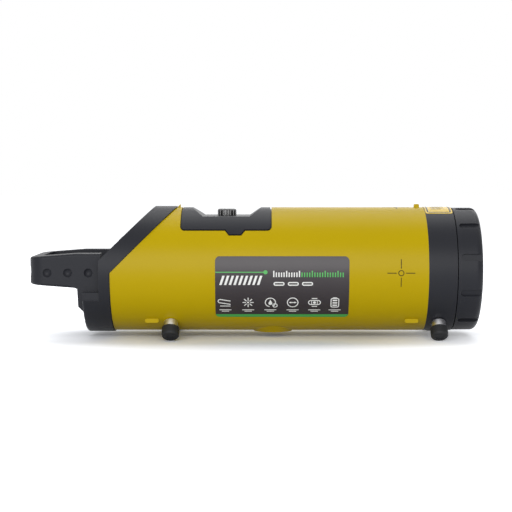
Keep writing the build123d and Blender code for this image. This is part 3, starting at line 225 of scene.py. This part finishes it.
def bump(tree, shader, height, depth_mm):
    """Feed a height to the shader's normal; depth is the full height of the relief."""
    node = add(tree, "ShaderNodeBump", sockets={"Strength": 1.0, "Distance": depth_mm / MM})
    tree.links.new(height, node.inputs["Height"])
    tree.links.new(node.outputs["Normal"], shader.inputs["Normal"])


def toned(tree, colour, tone):
    """Return a colour multiplied by a tone that varies over the surface."""
    node = add(tree, "ShaderNodeVectorMath", operation="SCALE")
    node.inputs[0].default_value = colour
    tree.links.new(tone, node.inputs["Scale"])
    return node.outputs["Vector"]


def mixed(tree, mask, first, second):
    """Return a colour that goes from first to second as the mask goes from 0 to 1."""
    node = add(tree, "ShaderNodeMix", data_type="RGBA")
    tree.links.new(mask, node.inputs[0])
    for slot, value in ((node.inputs[6], first), (node.inputs[7], second)):
        if isinstance(value, tuple):
            slot.default_value = (*value, 1.0)
        else:
            tree.links.new(value, slot)
    return node.outputs[2]


def coated(name, colour, grain_mm, depth_mm, drift=0.06, speckle=0.05, drift_mm=35.0, highlight_colour=None,
           highlight_mm=0.6, highlight_amount=0.5, **sockets):
    """Return a painted, moulded or rubber finish: toned colour, fine relief and, where a lighter edge colour
    is given, a painted highlight on its outer edges.
    """
    made, tree, shader, place = bare_material(name, **sockets)
    surface = place_group(tree, grain, place, Grain_Size_mm=grain_mm, Drift_Size_mm=drift_mm, Drift=drift,
                          Speckle=speckle)
    body = toned(tree, colour, surface.outputs["Tone"])
    if highlight_colour:
        # painted highlight: the outer edges are mixed towards the lighter edge colour, as if they caught the
        # light
        edges = place_group(tree, painted_edge_highlight, place, Width_mm=highlight_mm, Amount=highlight_amount)
        body = mixed(tree, edges.outputs["Mask"], body, highlight_colour)
    tree.links.new(body, shader.inputs["Base Color"])
    bump(tree, shader, surface.outputs["Height"], depth_mm)
    return made


def machined(name, colour, roughness, pitch_mm=0.25, stretch=(1.0, 0.05, 0.05), spread=0.12, depth_mm=0.004,
             **sockets):
    """Return a bare or plated metal with the fine lines of its turning or milling."""
    made, tree, shader, place = bare_material(name, Metallic=1.0, **sockets)
    marks = place_group(tree, machining, place, Line_Pitch_mm=pitch_mm, Stretch=stretch, Roughness=roughness,
                        Spread=spread)
    surface = place_group(tree, grain, place, Grain_Size_mm=4.0, Drift_Size_mm=12.0, Drift=0.05, Speckle=0.03)
    tree.links.new(toned(tree, colour, surface.outputs["Tone"]), shader.inputs["Base Color"])
    tree.links.new(marks.outputs["Roughness"], shader.inputs["Roughness"])
    bump(tree, shader, marks.outputs["Height"], depth_mm)
    return made


tube_yellow = coated("tube yellow coat", srgb(184, 158, 0), 0.7, 0.02, drift=0.03, speckle=0.05,
                     drift_mm=45.0, Roughness=0.38, Specular_IOR_Level=0.12)
# The lighter edge colours of the black moulding and the foot rubber are painted highlights on their outer
# edges.
moulding_black = coated("black moulding", srgb(38, 39, 44), 0.45, 0.035, drift=0.05, speckle=0.10,
                        highlight_colour=srgb(66, 67, 74), highlight_mm=0.7, highlight_amount=0.45, Roughness=0.40,
                        Specular_IOR_Level=0.14)
foot_rubber = coated("foot rubber", srgb(30, 31, 33), 0.6, 0.03, drift=0.06, speckle=0.08,
                     highlight_colour=srgb(56, 57, 61), highlight_mm=0.8, highlight_amount=0.5, Roughness=0.6, Specular_IOR_Level=0.3)
foot_chrome = machined("plated shank", (0.74, 0.74, 0.76), 0.30, spread=0.08, depth_mm=0.001)
knob_metal = machined("knob metal", (0.10, 0.10, 0.10), 0.26, spread=0.10, depth_mm=0.002)
fastener_steel = machined("fastener steel", (0.52, 0.52, 0.54), 0.32)
turned_brass = machined("turned brass", (0.70, 0.50, 0.20), 0.28)
milled_aluminium = machined("milled aluminium", (0.72, 0.73, 0.75), 0.38, stretch=(0.06, 1.0, 0.3),
                            depth_mm=0.006)
anodised_black = coated("black anodised", srgb(34, 35, 38), 0.3, 0.01, speckle=0.05, Metallic=0.6,
                        Roughness=0.42)
panel_film = coated("panel film", srgb(58, 61, 66), 0.35, 0.012, drift=0.03, speckle=0.03, Roughness=0.36)
# Its lighter edge colour is a painted highlight on the keys' outer edges.
key_silicone = coated("key silicone", srgb(118, 121, 126), 0.5, 0.02, speckle=0.05,
                      highlight_colour=srgb(150, 152, 156), Roughness=0.62)
board_lacquer = coated("board lacquer", srgb(28, 92, 52), 0.9, 0.03, drift=0.10, speckle=0.25, drift_mm=6.0,
                       Roughness=0.35)
display_face = coated("display face", srgb(150, 164, 140), 0.25, 0.004, drift=0.03, speckle=0.03,
                      Roughness=0.22)
case_moulding = coated("case moulding", srgb(74, 75, 80), 0.5, 0.04, speckle=0.10, Roughness=0.55)
cell_sleeve = coated("cell sleeve", srgb(52, 110, 158), 1.5, 0.01, speckle=0.04, Roughness=0.3)
label_film = coated("label film", srgb(48, 42, 45), 0.3, 0.008, drift=0.10, speckle=0.05, drift_mm=22.0,
                    Roughness=0.32, Specular_IOR_Level=0.35)
plate_film = coated("plate film", srgb(216, 182, 48), 0.3, 0.008, drift=0.03, speckle=0.03, Roughness=0.32)
sensor_potting = coated("sensor potting", srgb(222, 224, 216), 0.8, 0.02, Roughness=0.3)
ink_white = coated("white ink", srgb(232, 233, 230), 0.25, 0.006, drift=0.02, speckle=0.05, Roughness=0.38)
ink_green = coated("green ink", srgb(62, 166, 72), 0.25, 0.006, drift=0.04, speckle=0.05, Roughness=0.36)
ink_dark = coated("dark ink", srgb(46, 38, 12), 0.25, 0.006, drift=0.04, speckle=0.10, Roughness=0.45,
                  Specular_IOR_Level=0.12)
ink_black = coated("black ink", srgb(24, 26, 28), 0.25, 0.006, drift=0.04, speckle=0.06, Roughness=0.4)
ink_grey = coated("grey ink", srgb(150, 153, 158), 0.25, 0.006, drift=0.04, speckle=0.06, Roughness=0.4)


def clear(name, colour, roughness, index):
    """Return clear glass with the faint smears that a wiped window keeps."""
    made, tree, shader, place = bare_material(name, Transmission_Weight=1.0, IOR=index, Metallic=0.0)
    surface = place_group(tree, grain, place, Grain_Size_mm=1.2, Drift_Size_mm=22.0, Drift=0.02, Speckle=0.01)
    tree.links.new(toned(tree, colour, surface.outputs["Tone"]), shader.inputs["Base Color"])
    smear = sums(tree, "MULTIPLY", noise(tree, place, SMEARS, 3.0), roughness)
    tree.links.new(smear, shader.inputs["Roughness"])
    return made


window_clear = clear("window glass", (0.90, 0.95, 0.94), 0.03, 1.50)
lens_clear = clear("lens glass", (0.80, 0.90, 0.95), 0.02, 1.55)
screen_clear = clear("screen window", (0.93, 0.95, 0.95), 0.06, 1.45)

finishes = {
    tube_yellow: ["main_tube"],
    moulding_black: ["rear_housing", "handle", "front_collar", "front_cap", "battery_cover"],
    foot_rubber: ["rear_gasket"] + [f"{p}_{h}_tip" for p in ("rear", "front") for h in ("near", "far")],
    foot_chrome: [f"{p}_{h}_leg" for p in ("rear", "front") for h in ("near", "far")],
    knob_metal: ["thumb_screw"],
    fastener_steel: ["handle_screws", "housing_screws", "line_pins", "grade_pins", "line_screw",
                     "grade_screw", "tripod_insert"],
    turned_brass: ["tray_insert", "pivot_bushes", "line_nut", "grade_nut", "laser_module", "pack_contacts"],
    milled_aluminium: ["bulkhead", "side_rails", "gimbal_ring", "line_bracket", "yoke", "rear_fork"],
    anodised_black: ["laser_barrel", "window_ring", "line_motor", "grade_motor"],
    panel_film: ["control_panel"],
    key_silicone: [f"key_{k}" for k in ("power", "menu", "up", "enter", "lamp", "left", "down", "right")],
    board_lacquer: ["key_board", "main_board"],
    display_face: ["display_module"],
    case_moulding: ["battery_tray", "pack_case"],
    cell_sleeve: ["battery_cells"],
    label_film: ["side_label"],
    plate_film: ["top_plate"],
    sensor_potting: ["level_sensor"],
    window_clear: ["window_glass"],
    lens_clear: ["beam_lens"],
    screen_clear: ["screen_window"],
}
for finish, nodes in finishes.items():
    for node in nodes:
        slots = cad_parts[node].material_slots
        for slot in slots:
            slot.material = finish


# Printed marks: flat shapes in millimetres, laid on a surface as thin solid films

def bar(start, end, width):
    """Return a straight stroke."""
    (u0, v0), (u1, v1) = start, end
    length = hypot(u1 - u0, v1 - v0)
    du, dv = (v0 - v1) / length * width / 2, (u1 - u0) / length * width / 2
    return [[(u0 - du, v0 - dv), (u1 - du, v1 - dv), (u1 + du, v1 + dv), (u0 + du, v0 + dv)]]


def disc(u, v, radius, sides=24):
    """Return a filled disc."""
    angles = [2 * pi * k / sides for k in range(sides)]
    return [[(u + radius * cos(angle), v + radius * sin(angle)) for angle in angles]]


def arc(u, v, radius, width, first=0.0, last=360.0, steps=24):
    """Return a stroke along an arc, in degrees."""
    made, inner, outer = [], radius - width / 2, radius + width / 2
    for k in range(steps):
        a, b = (radians(first + (last - first) * step / steps) for step in (k, k + 1))
        corners = ((inner, a), (outer, a), (outer, b), (inner, b))
        made.append([(u + r * cos(t), v + r * sin(t)) for r, t in corners])
    return made


def rounded_frame(u, v, width, height, corner, line):
    """Return the outline of a rounded rectangle about its middle."""
    du, dv = width / 2 - corner, height / 2 - corner
    made = []
    for su, sv, start in ((1, 1, 0), (-1, 1, 90), (-1, -1, 180), (1, -1, 270)):
        made += arc(u + su * du, v + sv * dv, corner, line, start, start + 90, 5)
    for side in (-1, 1):
        made += bar((u - du, v + side * height / 2), (u + du, v + side * height / 2), line)
        made += bar((u + side * width / 2, v - dv), (u + side * width / 2, v + dv), line)
    return made


def moved(shapes, u, v, scale=1.0):
    """Return shapes scaled about their origin and then moved."""
    return [[(u + scale * a, v + scale * b) for a, b in shape] for shape in shapes]


def ring_of(count, first, step, inner, outer, width):
    """Return short strokes standing round a centre, as on a dial."""
    made = []
    for k in range(count):
        t = radians(first + k * step)
        made += bar((inner * cos(t), inner * sin(t)), (outer * cos(t), outer * sin(t)), width)
    return made


def figure(text, height, line):
    """Return numbers for a display in straight segments; width is half the height."""
    wide, half = height * 0.5, height / 2
    ends = {"a": ((0, height), (wide, height)), "b": ((wide, half), (wide, height)),
            "c": ((wide, 0), (wide, half)), "d": ((0, 0), (wide, 0)), "e": ((0, 0), (0, half)),
            "f": ((0, half), (0, height)), "g": ((0, half), (wide, half))}
    lit = {"0": "abcdef", "1": "bc", "2": "abged", "3": "abgcd", "4": "fgbc", "5": "afgcd", "6": "afgedc",
           "7": "abc", "8": "abcdefg", "9": "abcdfg", "-": "g"}
    made, at = [], 0.0
    for letter in text:
        if letter == ".":
            made += moved(bar((0, 0), (line, 0), line), at - height * 0.24, 0)
            continue
        for segment in lit[letter]:
            (u0, v0), (u1, v1) = ends[segment]
            cut = line * 0.62 / hypot(u1 - u0, v1 - v0)
            start = (u0 + (u1 - u0) * cut, v0 + (v1 - v0) * cut)
            end = (u1 - (u1 - u0) * cut, v1 - (v1 - v0) * cut)
            made += moved(bar(start, end, line), at, 0)
        at += height * 0.78
    return made


def finished(name, mesh_from, material, body):
    """Return a piece made from a bmesh, with its material, body and material slot."""
    mesh = bpy.data.meshes.new(name)
    mesh_from.to_mesh(mesh)
    mesh_from.free()
    mesh.materials.append(material)
    piece = bpy.data.objects.new(name, mesh)
    bpy.context.scene.collection.objects.link(piece)
    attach(piece, body)
    return piece


def printed(name, shapes, lay, material, body, cut_mm=None, thick=INK):
    """Lay flat shapes on a surface as closed films; lay(u, v, w) gives the place, cut_mm follows a curve."""
    shell = bmesh.new()
    for shape in shapes:
        shell.faces.new([shell.verts.new((u, v, 0.0)) for u, v in shape])
    bmesh.ops.remove_doubles(shell, verts=shell.verts, dist=0.002)
    if cut_mm:
        low, high = (f(vert.co.y for vert in shell.verts) for f in (min, max))
        for k in range(ceil(low / cut_mm), int(high / cut_mm) + 1):
            bmesh.ops.bisect_plane(shell, geom=[*shell.verts, *shell.edges, *shell.faces], dist=1e-5,
                                   plane_co=(0, k * cut_mm, 0), plane_no=(0, 1, 0))
    extruded = bmesh.ops.extrude_face_region(shell, geom=list(shell.faces))
    raised = {item for item in extruded["geom"] if isinstance(item, bmesh.types.BMVert)}
    for vert in shell.verts:
        vert.co = lay(vert.co.x, vert.co.y, thick if vert in raised else -INK_SINK)
    bmesh.ops.recalc_face_normals(shell, faces=shell.faces)
    return finished(name, shell, material, body)


def on_tube(x, middle, radius=TUBE_R, turned=False):
    """Return the laying rule for a mark on the tube about a place at an angle up from the near side."""
    if turned:
        return lambda u, v, w: wrap(x + v, -u, w, radius, middle)
    return lambda u, v, w: wrap(x + u, v, w, radius, middle)


# Cross marks over the beam's pivot, on both sides and on top

cross = arc(0, 0, 2.5, CROSS_LINE, steps=32)
for turn in range(4):
    ahead = Vector((cos(turn * pi / 2), sin(turn * pi / 2)))
    cross += bar(tuple(ahead * 4.4), tuple(ahead * 13.3), CROSS_LINE)
for place, angle in (("near", 0.0), ("top", 90.0), ("far", 180.0)):
    printed(f"cross_mark_{place}", cross, on_tube(GIMBAL_X, angle), ink_dark, "housing",
            CURVE_STEP)

# Side label: a beam line, a scale and plain symbols, with the green strip along its foot

label_lay = on_tube(LABEL_X, LABEL_LOW, FILM_R)
half_label = LABEL_LENGTH / 2


def block(u, v, width, height, lean=0.0):
    """Return an upright block about its middle; lean shifts its top to the right."""
    du, dv, shift = width / 2, height / 2, lean / 2
    return [[(u - du - shift, v - dv), (u + du - shift, v - dv),
             (u + du + shift, v + dv), (u - du + shift, v + dv)]]


def arrow(u, v, size):
    """Return a solid arrow head that points to the right, or to the left for a negative size."""
    return [[(u, v - abs(size) / 2), (u + size, v), (u, v + abs(size) / 2)]]


def pipe_run():
    """Return a symbol of a pipe laid to a fall over its level line."""
    return (bar((-5.0, 3.4), (5.0, 1.6), 0.9) + bar((-5.0, -0.4), (5.0, -2.2), 0.9)
            + bar((-5.0, -4.2), (5.0, -4.2), 0.8) + arc(-5.0, 1.5, 1.9, 0.8, 90, 270, 12))


def burst():
    """Return a symbol of a beam's spot."""
    return disc(0, 0, 1.0, 18) + ring_of(8, 0, 45, 2.1, 5.3, 0.9)


def sealed():
    """Return a symbol of a drop kept out by a round seal."""
    made = arc(0, 0, 4.9, 0.9, 300, 620, 36) + arc(4.4, -3.4, 2.1, 0.8, steps=18)
    return made + disc(0, -0.9, 1.9, 20) + [[(-1.75, -0.3), (1.75, -0.3), (0.0, 3.0)]]


def reach():
    """Return a symbol of the way the beam swings across."""
    ring, shaft = arc(0, 0, 5.1, 0.9, steps=36), bar((-2.0, 0), (2.0, 0), 1.0)
    return ring + shaft + arrow(1.6, 0, 2.2) + arrow(-1.6, 0, -2.2)


def levels():
    """Return a symbol of a level vial between its marks."""
    made = rounded_frame(0, 0, 11.4, 4.6, 2.2, 0.9) + disc(0, 0, 1.4, 20)
    made += bar((-2.8, -1.6), (-2.8, 1.6), 0.6) + bar((2.8, -1.6), (2.8, 1.6), 0.6)
    return made + block(0, 4.5, 5.2, 0.9) + block(0, -4.5, 5.2, 0.9)


def cell():
    """Return a symbol of a battery."""
    made = rounded_frame(0, -0.4, 7.4, 10.0, 1.6, 0.9) + block(0, 5.2, 3.4, 1.0)
    for k in range(3):
        made += block(0, -3.2 + k * 2.8, 4.4, 1.5)
    return made


def strip(half, height, corner, inset):
    """Return a band along the foot of a rounded film, with the film's own corners."""
    radius, made = corner - inset, []
    top = height - corner
    last = degrees(asin(top / radius)) if abs(top) < radius else 0.0
    for k in range(9):
        turn = radians(-90 + (90 + last) * k / 8)
        made.append((half - corner + radius * cos(turn), corner + radius * sin(turn)))
    return [made + [(-u, v) for u, v in reversed(made)]]


BEAM_LEVEL, BEAM_END, SPOT_R = 49.8, -16.0, 2.0
BEAM_HALF = 0.45              # half the width of the beam line
SLANTED_BARS, SCALE_TICKS, WHITE_TICKS, CAPTION_FRAMES = 9, 28, 11, 3
SYMBOL_LEVEL = 19.0
symbols = ((-54.5, pipe_run), (-32.6, burst), (-11.2, sealed), (10.2, reach), (31.1, levels), (50.7, cell))

white, green_scale = [], []
for k in range(SLANTED_BARS):
    white += block(-57.5 + k * 4.5, 42.0, 2.3, 9.0, 3.0)
for k in range(SCALE_TICKS):
    level, height = (48.2, 6.0) if k % 5 == 0 else (47.4, 4.4)
    tick = block(-8.0 + k * 2.45, level, 1.15, height)
    if k < WHITE_TICKS:
        white += tick
    else:
        green_scale += tick
for k in range(CAPTION_FRAMES):
    white += rounded_frame(-3.0 + k * 13.6, 38.6, 9.4, 2.6, 1.2, 1.1)
for u, symbol in symbols:
    white += moved(symbol(), u, SYMBOL_LEVEL) + block(u, 10.1, 11.5, 0.8) + block(u, 8.3, 7.0, 0.8)
printed("label_white_print", white, label_lay, ink_white, "housing", CURVE_STEP)
green = green_scale + strip(half_label, 4.0, LABEL_CORNER, 0.25) + disc(BEAM_END, BEAM_LEVEL, SPOT_R)
line_ends = (0.3 - half_label, -17.9)
green += [[(line_ends[0], BEAM_LEVEL - BEAM_HALF), (line_ends[1], BEAM_LEVEL - BEAM_HALF),
           (line_ends[1], BEAM_LEVEL + BEAM_HALF), (line_ends[0], BEAM_LEVEL + BEAM_HALF)]]
printed("label_green_print", green, label_lay, ink_green, "housing", CURVE_STEP)

# Top plate: a plain border round a sighting line, with four bars on each side of it

plate_half = COLLAR_FILM_R * radians(PLATE_ANGLE)
plate_lay = on_tube(PLATE_X, 90.0, COLLAR_FILM_R)
plate = rounded_frame(0, 0, PLATE_LENGTH - 4.2, 2 * plate_half - 4.4, 1.8, 1.5)
for side in (-1, 1):
    for k in range(4):
        start, length, across = -6.6, 9.0 if k % 2 else 12.6, side * (5.0 + k * 3.4)
        plate += bar((start, across), (start + length, across), 1.1)
plate += bar((-7.0, 0), (7.0, 0), 0.9)
printed("top_plate_print", plate, plate_lay, ink_black, "housing", CURVE_STEP)

# Key panel: border, symbols on the keys and the figures on the display

printed("panel_border", rounded_frame(0, 0, 63.6, 41.6, 3.4, 0.5), on_panel, ink_grey, "housing")
printed("screen_border", rounded_frame(0, 8.5, 42.6, 19.6, 2.2, 0.7), on_panel, ink_black, "housing")
triangle = [[(-1.9, -1.2), (1.9, -1.2), (0, 1.7)]]


def turned(shapes, angle):
    """Return shapes turned about their origin by an angle in degrees."""
    c, s = cos(radians(angle)), sin(radians(angle))
    return [[(u * c - v * s, u * s + v * c) for u, v in shape] for shape in shapes]


key_symbols = {
    "power": arc(0, 0, 1.7, KEY_LINE, 120, 420, 20) + bar((0, 0.3), (0, 2.3), KEY_LINE),
    "menu": [stroke for v in (1.3, 0, -1.3) for stroke in bar((-2.0, v), (2.0, v), KEY_LINE)],
    "up": triangle,
    "enter": arc(0, 0, 1.9, KEY_LINE, steps=22) + disc(0, 0, 0.9, 18),
    "lamp": disc(0, 0, 1.0, 18) + ring_of(8, 0, 45, 1.4, 2.2, 0.4),
    "left": turned(triangle, 90),
    "down": turned(triangle, 180),
    "right": turned(triangle, -90),
}
for spot, (key, symbol) in enumerate(key_symbols.items()):
    across = (spot % KEYS_PER_ROW - (KEYS_PER_ROW - 1) / 2) * KEY_SPACING
    up = FIRST_KEY_ROW - spot // KEYS_PER_ROW * KEY_ROW_SPACING
    printed(f"key_{key}_mark", moved(symbol, across, up), lambda u, v, w: on_panel(u, v, KEY_TOP + w),
            ink_white, f"key_{key}")
reading = moved(figure("-0.250", 5.6, 0.8), -13.6, 8.2) + rounded_frame(13.0, 12.2, 5.0, 2.4, 0.5, 0.35)
reading += bar((16.0, 11.7), (16.0, 12.7), 0.4) + moved(bar((-16.0, 0), (16.0, 0), 0.3), 0, 5.9)
for k in range(9):
    reading += bar((-12 + 3 * k, 3.4), (-12 + 3 * k, 4.4 if k % 4 else 5.2), 0.35)
reading += bar((11.4, 11.4), (11.4, 13.0), 0.7) + bar((12.7, 11.4), (12.7, 13.0), 0.7)
printed("display_figures", reading, lambda u, v, w: on_panel(u, v, SCREEN_LEVEL + w), ink_black, "housing")


# Screw threads, drawn by Geometry Nodes as a ridge that winds along its screw

def thread_tree():
    """Return the node tree for a thread ridge that climbs along Z from the origin."""
    tree = bpy.data.node_groups.new("Thread Ridge", "GeometryNodeTree")
    for label, kind, value in (
            ("Radius", "NodeSocketFloat", 0.0025), ("Pitch", "NodeSocketFloat", 0.0008),
            ("Length", "NodeSocketFloat", 0.01), ("Ridge Width", "NodeSocketFloat", 0.0004),
            ("Finish", "NodeSocketMaterial", None)):
        socket = tree.interface.new_socket(label, in_out="INPUT", socket_type=kind)
        if value is not None:
            socket.default_value = value
    tree.interface.new_socket("Ridge", in_out="OUTPUT", socket_type="NodeSocketGeometry")
    given, result = tree.nodes.new("NodeGroupInput"), tree.nodes.new("NodeGroupOutput")
    turns = sums(tree, "DIVIDE", given.outputs["Length"], given.outputs["Pitch"])
    winding = add(tree, "GeometryNodeCurveSpiral", sockets={"Resolution": 20})
    for name, source in (("Rotations", turns), ("Start Radius", given.outputs["Radius"]),
                         ("End Radius", given.outputs["Radius"]), ("Height", given.outputs["Length"])):
        tree.links.new(source, winding.inputs[name])
    section = add(tree, "GeometryNodeCurvePrimitiveCircle", sockets={"Resolution": 4})
    tree.links.new(sums(tree, "DIVIDE", given.outputs["Ridge Width"], 2.0), section.inputs["Radius"])
    sweep = add(tree, "GeometryNodeCurveToMesh", sockets={"Fill Caps": True})
    tree.links.new(winding.outputs["Curve"], sweep.inputs["Curve"])
    tree.links.new(section.outputs["Curve"], sweep.inputs["Profile Curve"])
    whole = tree.nodes.new("GeometryNodeRealizeInstances")
    tree.links.new(sweep.outputs["Mesh"], whole.inputs["Geometry"])
    finish = tree.nodes.new("GeometryNodeSetMaterial")
    tree.links.new(whole.outputs["Geometry"], finish.inputs["Geometry"])
    tree.links.new(given.outputs["Finish"], finish.inputs["Material"])
    tree.links.new(finish.outputs["Geometry"], result.inputs["Ridge"])
    return tree


ridge_tree = thread_tree()


def thread(name, radius, lead, length, ridge, start, along, material, body, starts=1):
    """Wind a thread's ridges from a place along a direction, all in millimetres about the tube's axis."""
    holder = bpy.data.objects.new(f"{name}_path", bpy.data.meshes.new(f"{name}_path"))
    bpy.context.scene.collection.objects.link(holder)
    modifier = holder.modifiers.new("Thread Ridge", "NODES")
    modifier.node_group = ridge_tree
    sockets = {item.name: item.identifier for item in ridge_tree.interface.items_tree
               if item.in_out == "INPUT"}
    for label, value in (("Radius", radius), ("Pitch", lead), ("Length", length), ("Ridge Width", ridge)):
        modifier[sockets[label]] = value / MM
    modifier[sockets["Finish"]] = material
    wound = bpy.data.meshes.new_from_object(holder.evaluated_get(bpy.context.evaluated_depsgraph_get()))
    bpy.data.objects.remove(holder)
    shell = bmesh.new()
    for _ in range(starts):
        shell.from_mesh(wound)
        wound.transform(Matrix.Rotation(2 * pi / starts, 4, "Z"))
    turn = Vector((0, 0, 1)).rotation_difference(Vector(along)).to_matrix().to_4x4()
    turn.translation = metres(*start)
    shell.transform(turn)
    bmesh.ops.remove_doubles(shell, verts=shell.verts, dist=1e-6)
    bmesh.ops.recalc_face_normals(shell, faces=shell.faces)
    return finished(name, shell, material, body)


thread("thumb_screw_thread", 2.2, 0.8, 11.0, 0.6, (SADDLE_X, 0, -0.3), (0, 0, 1), knob_metal, "thumb_screw")
thread("tripod_thread", 6.75, 2.31, 11.5, 0.9, (BOSS_X, 0, BOSS_BORE_Z), (0, 0, 1), fastener_steel,
       "housing")
thread("line_screw_thread", 2.2, LEAD, 42.6, 0.6, (170.4, -21.4, -13), (0, 1, 0), fastener_steel,
       "line_screw", STARTS)
thread("grade_screw_thread", 2.2, LEAD, 59.6, 0.6, (202.4, 0, -40.4), (0, 0, 1), fastener_steel,
       "grade_screw", STARTS)
for place, leg_x in FOOT_X.items():
    for hand, side in (("near", -1), ("far", 1)):
        out = (0, side * sin(FOOT_ANGLE), -cos(FOOT_ANGLE))
        start = (leg_x, out[1] * STUD_START, out[2] * STUD_START)
        thread(f"{place}_{hand}_stud_thread", 3.7, 1.25, 7.0, 0.6, start, out, foot_chrome,
               f"{place}_{hand}_foot")


# Studio: a pale floor that is white away from the part and darker round it, where its own light fades out as
# painted shade beside the real shadow; soft overhead light and a front fill

PAPER, BOUNCE = 1.12, 0.62    # the floor's tone to the camera, and its tone where it lights the part
PAPER_TINT = {"Red": 0.975, "Green": 1.0, "Blue": 1.05}
FLOOR_LIFT = 0.75             # light of its own that the floor shows away from the part
# The floor's own light fades out from FADE_END to FADE_START towards the part, so the floor round the part is
# darker than further out: painted shade round the part, on top of its real shadow.
FADE_START, FADE_END = 0.07, 0.26
FADE_SHAPE = (0.75, 1.0, 1.0)
FLOOR_SIZE = 14.0
WORLD_LIGHT = 0.30            # the surroundings' light on the part; the camera sees them white
LIT_PLACE = (0, 0, 0.06)      # what the lamps aim at


def floor_finish():
    """Return the floor's paper: white to the camera away from the part, darker round the part where its own
    light fades out (painted shade on top of the real shadow), and duller where it lights the part.
    """
    made = bpy.data.materials.new("studio paper")
    made.use_nodes = True
    tree = made.node_tree
    tree.nodes.clear()
    end = tree.nodes.new("ShaderNodeOutputMaterial")
    paper = add(tree, "ShaderNodeBsdfDiffuse")
    tone = sums(tree, "ADD", seen(tree, PAPER - BOUNCE), BOUNCE)
    grey = tree.nodes.new("ShaderNodeCombineColor")
    for channel, share in PAPER_TINT.items():
        tree.links.new(sums(tree, "MULTIPLY", tone, share), grey.inputs[channel])
    tree.links.new(grey.outputs["Color"], paper.inputs["Color"])
    oval = add(tree, "ShaderNodeVectorMath", operation="MULTIPLY")
    oval.inputs[1].default_value = FADE_SHAPE
    tree.links.new(add(tree, "ShaderNodeTexCoord").outputs["Object"], oval.inputs[0])
    away = add(tree, "ShaderNodeVectorMath", operation="LENGTH")
    tree.links.new(oval.outputs["Vector"], away.inputs[0])
    # painted shade: no light of its own near the part, rising to FLOOR_LIFT further out
    fade = add(tree, "ShaderNodeMapRange", interpolation_type="SMOOTHSTEP",
               sockets={"From Min": FADE_START, "From Max": FADE_END, "To Min": 0.0, "To Max": FLOOR_LIFT})
    tree.links.new(away.outputs["Value"], fade.inputs["Value"])
    lift = add(tree, "ShaderNodeEmission", sockets={"Color": (1, 1, 1, 1)})
    tree.links.new(seen(tree, fade.outputs["Result"]), lift.inputs["Strength"])
    both = tree.nodes.new("ShaderNodeAddShader")
    tree.links.new(paper.outputs[0], both.inputs[0])
    tree.links.new(lift.outputs[0], both.inputs[1])
    tree.links.new(both.outputs[0], end.inputs["Surface"])
    return made


def seen(tree, strength):
    """Return a strength, a number or a socket, that counts for camera, glossy and transmitted rays only."""
    path = tree.nodes.new("ShaderNodeLightPath")
    either = sums(tree, "MAXIMUM", path.outputs["Is Camera Ray"],
                  sums(tree, "MAXIMUM", path.outputs["Is Glossy Ray"], path.outputs["Is Transmission Ray"]))
    return sums(tree, "MULTIPLY", either, strength)


bpy.ops.mesh.primitive_plane_add(size=FLOOR_SIZE, location=(0, 0, 0))
floor = bpy.context.object
floor.name = "studio_floor"
floor.data.materials.append(floor_finish())

world = bpy.data.worlds.new("studio")
bpy.context.scene.world = world
world.use_nodes = True
sky = world.node_tree
sky.nodes.clear()
sky_end = sky.nodes.new("ShaderNodeOutputWorld")
sky_light = add(sky, "ShaderNodeBackground", sockets={"Color": (1, 1, 1, 1)})
sky.links.new(sums(sky, "ADD", seen(sky, 1.0 - WORLD_LIGHT), WORLD_LIGHT), sky_light.inputs["Strength"])
sky.links.new(sky_light.outputs[0], sky_end.inputs["Surface"])


def soft_light(name, place, target, width, height, power):
    """Place a large soft lamp aimed at a target."""
    lamp = bpy.data.lights.new(name, "AREA")
    lamp.shape, lamp.size, lamp.size_y, lamp.energy = "RECTANGLE", width, height, power
    light = bpy.data.objects.new(name, lamp)
    light.location = place
    light.rotation_euler = (Vector(target) - Vector(place)).to_track_quat("-Z", "Y").to_euler()
    bpy.context.scene.collection.objects.link(light)


soft_light("overhead_softbox", (0.0, 0.42, 1.15), LIT_PLACE, 1.7, 0.9, 8.5)
soft_light("front_fill", (-0.15, -1.8, 0.6), LIT_PLACE, 1.7, 1.1, 26.0)
soft_light("rear_fill", (0.4, 1.7, 0.8), LIT_PLACE, 1.4, 0.8, 3.0)

# Camera at the photograph's place

CAMERA_X, CAMERA_RISE, CAMERA_REACH = 0.008875, radians(4.21), 1.35
AIM_X, AIM_RISE = 0.000925, 0.01245
FOCAL_MM, SENSOR_MM = 95.0, 36.0
axis_z = AXIS_HEIGHT / MM
lens = bpy.data.cameras.new("camera")
lens.lens, lens.sensor_width, lens.clip_start, lens.clip_end = FOCAL_MM, SENSOR_MM, 0.01, 50.0
camera = bpy.data.objects.new("camera", lens)
camera.location = (CAMERA_X, -CAMERA_REACH * cos(CAMERA_RISE), axis_z + CAMERA_REACH * sin(CAMERA_RISE))
aim = Vector((AIM_X, 0, axis_z + AIM_RISE))
camera.rotation_euler = (aim - camera.location).to_track_quat("-Z", "Y").to_euler()
bpy.context.scene.collection.objects.link(camera)
bpy.context.scene.camera = camera
bpy.context.scene.view_settings.view_transform = "Standard"
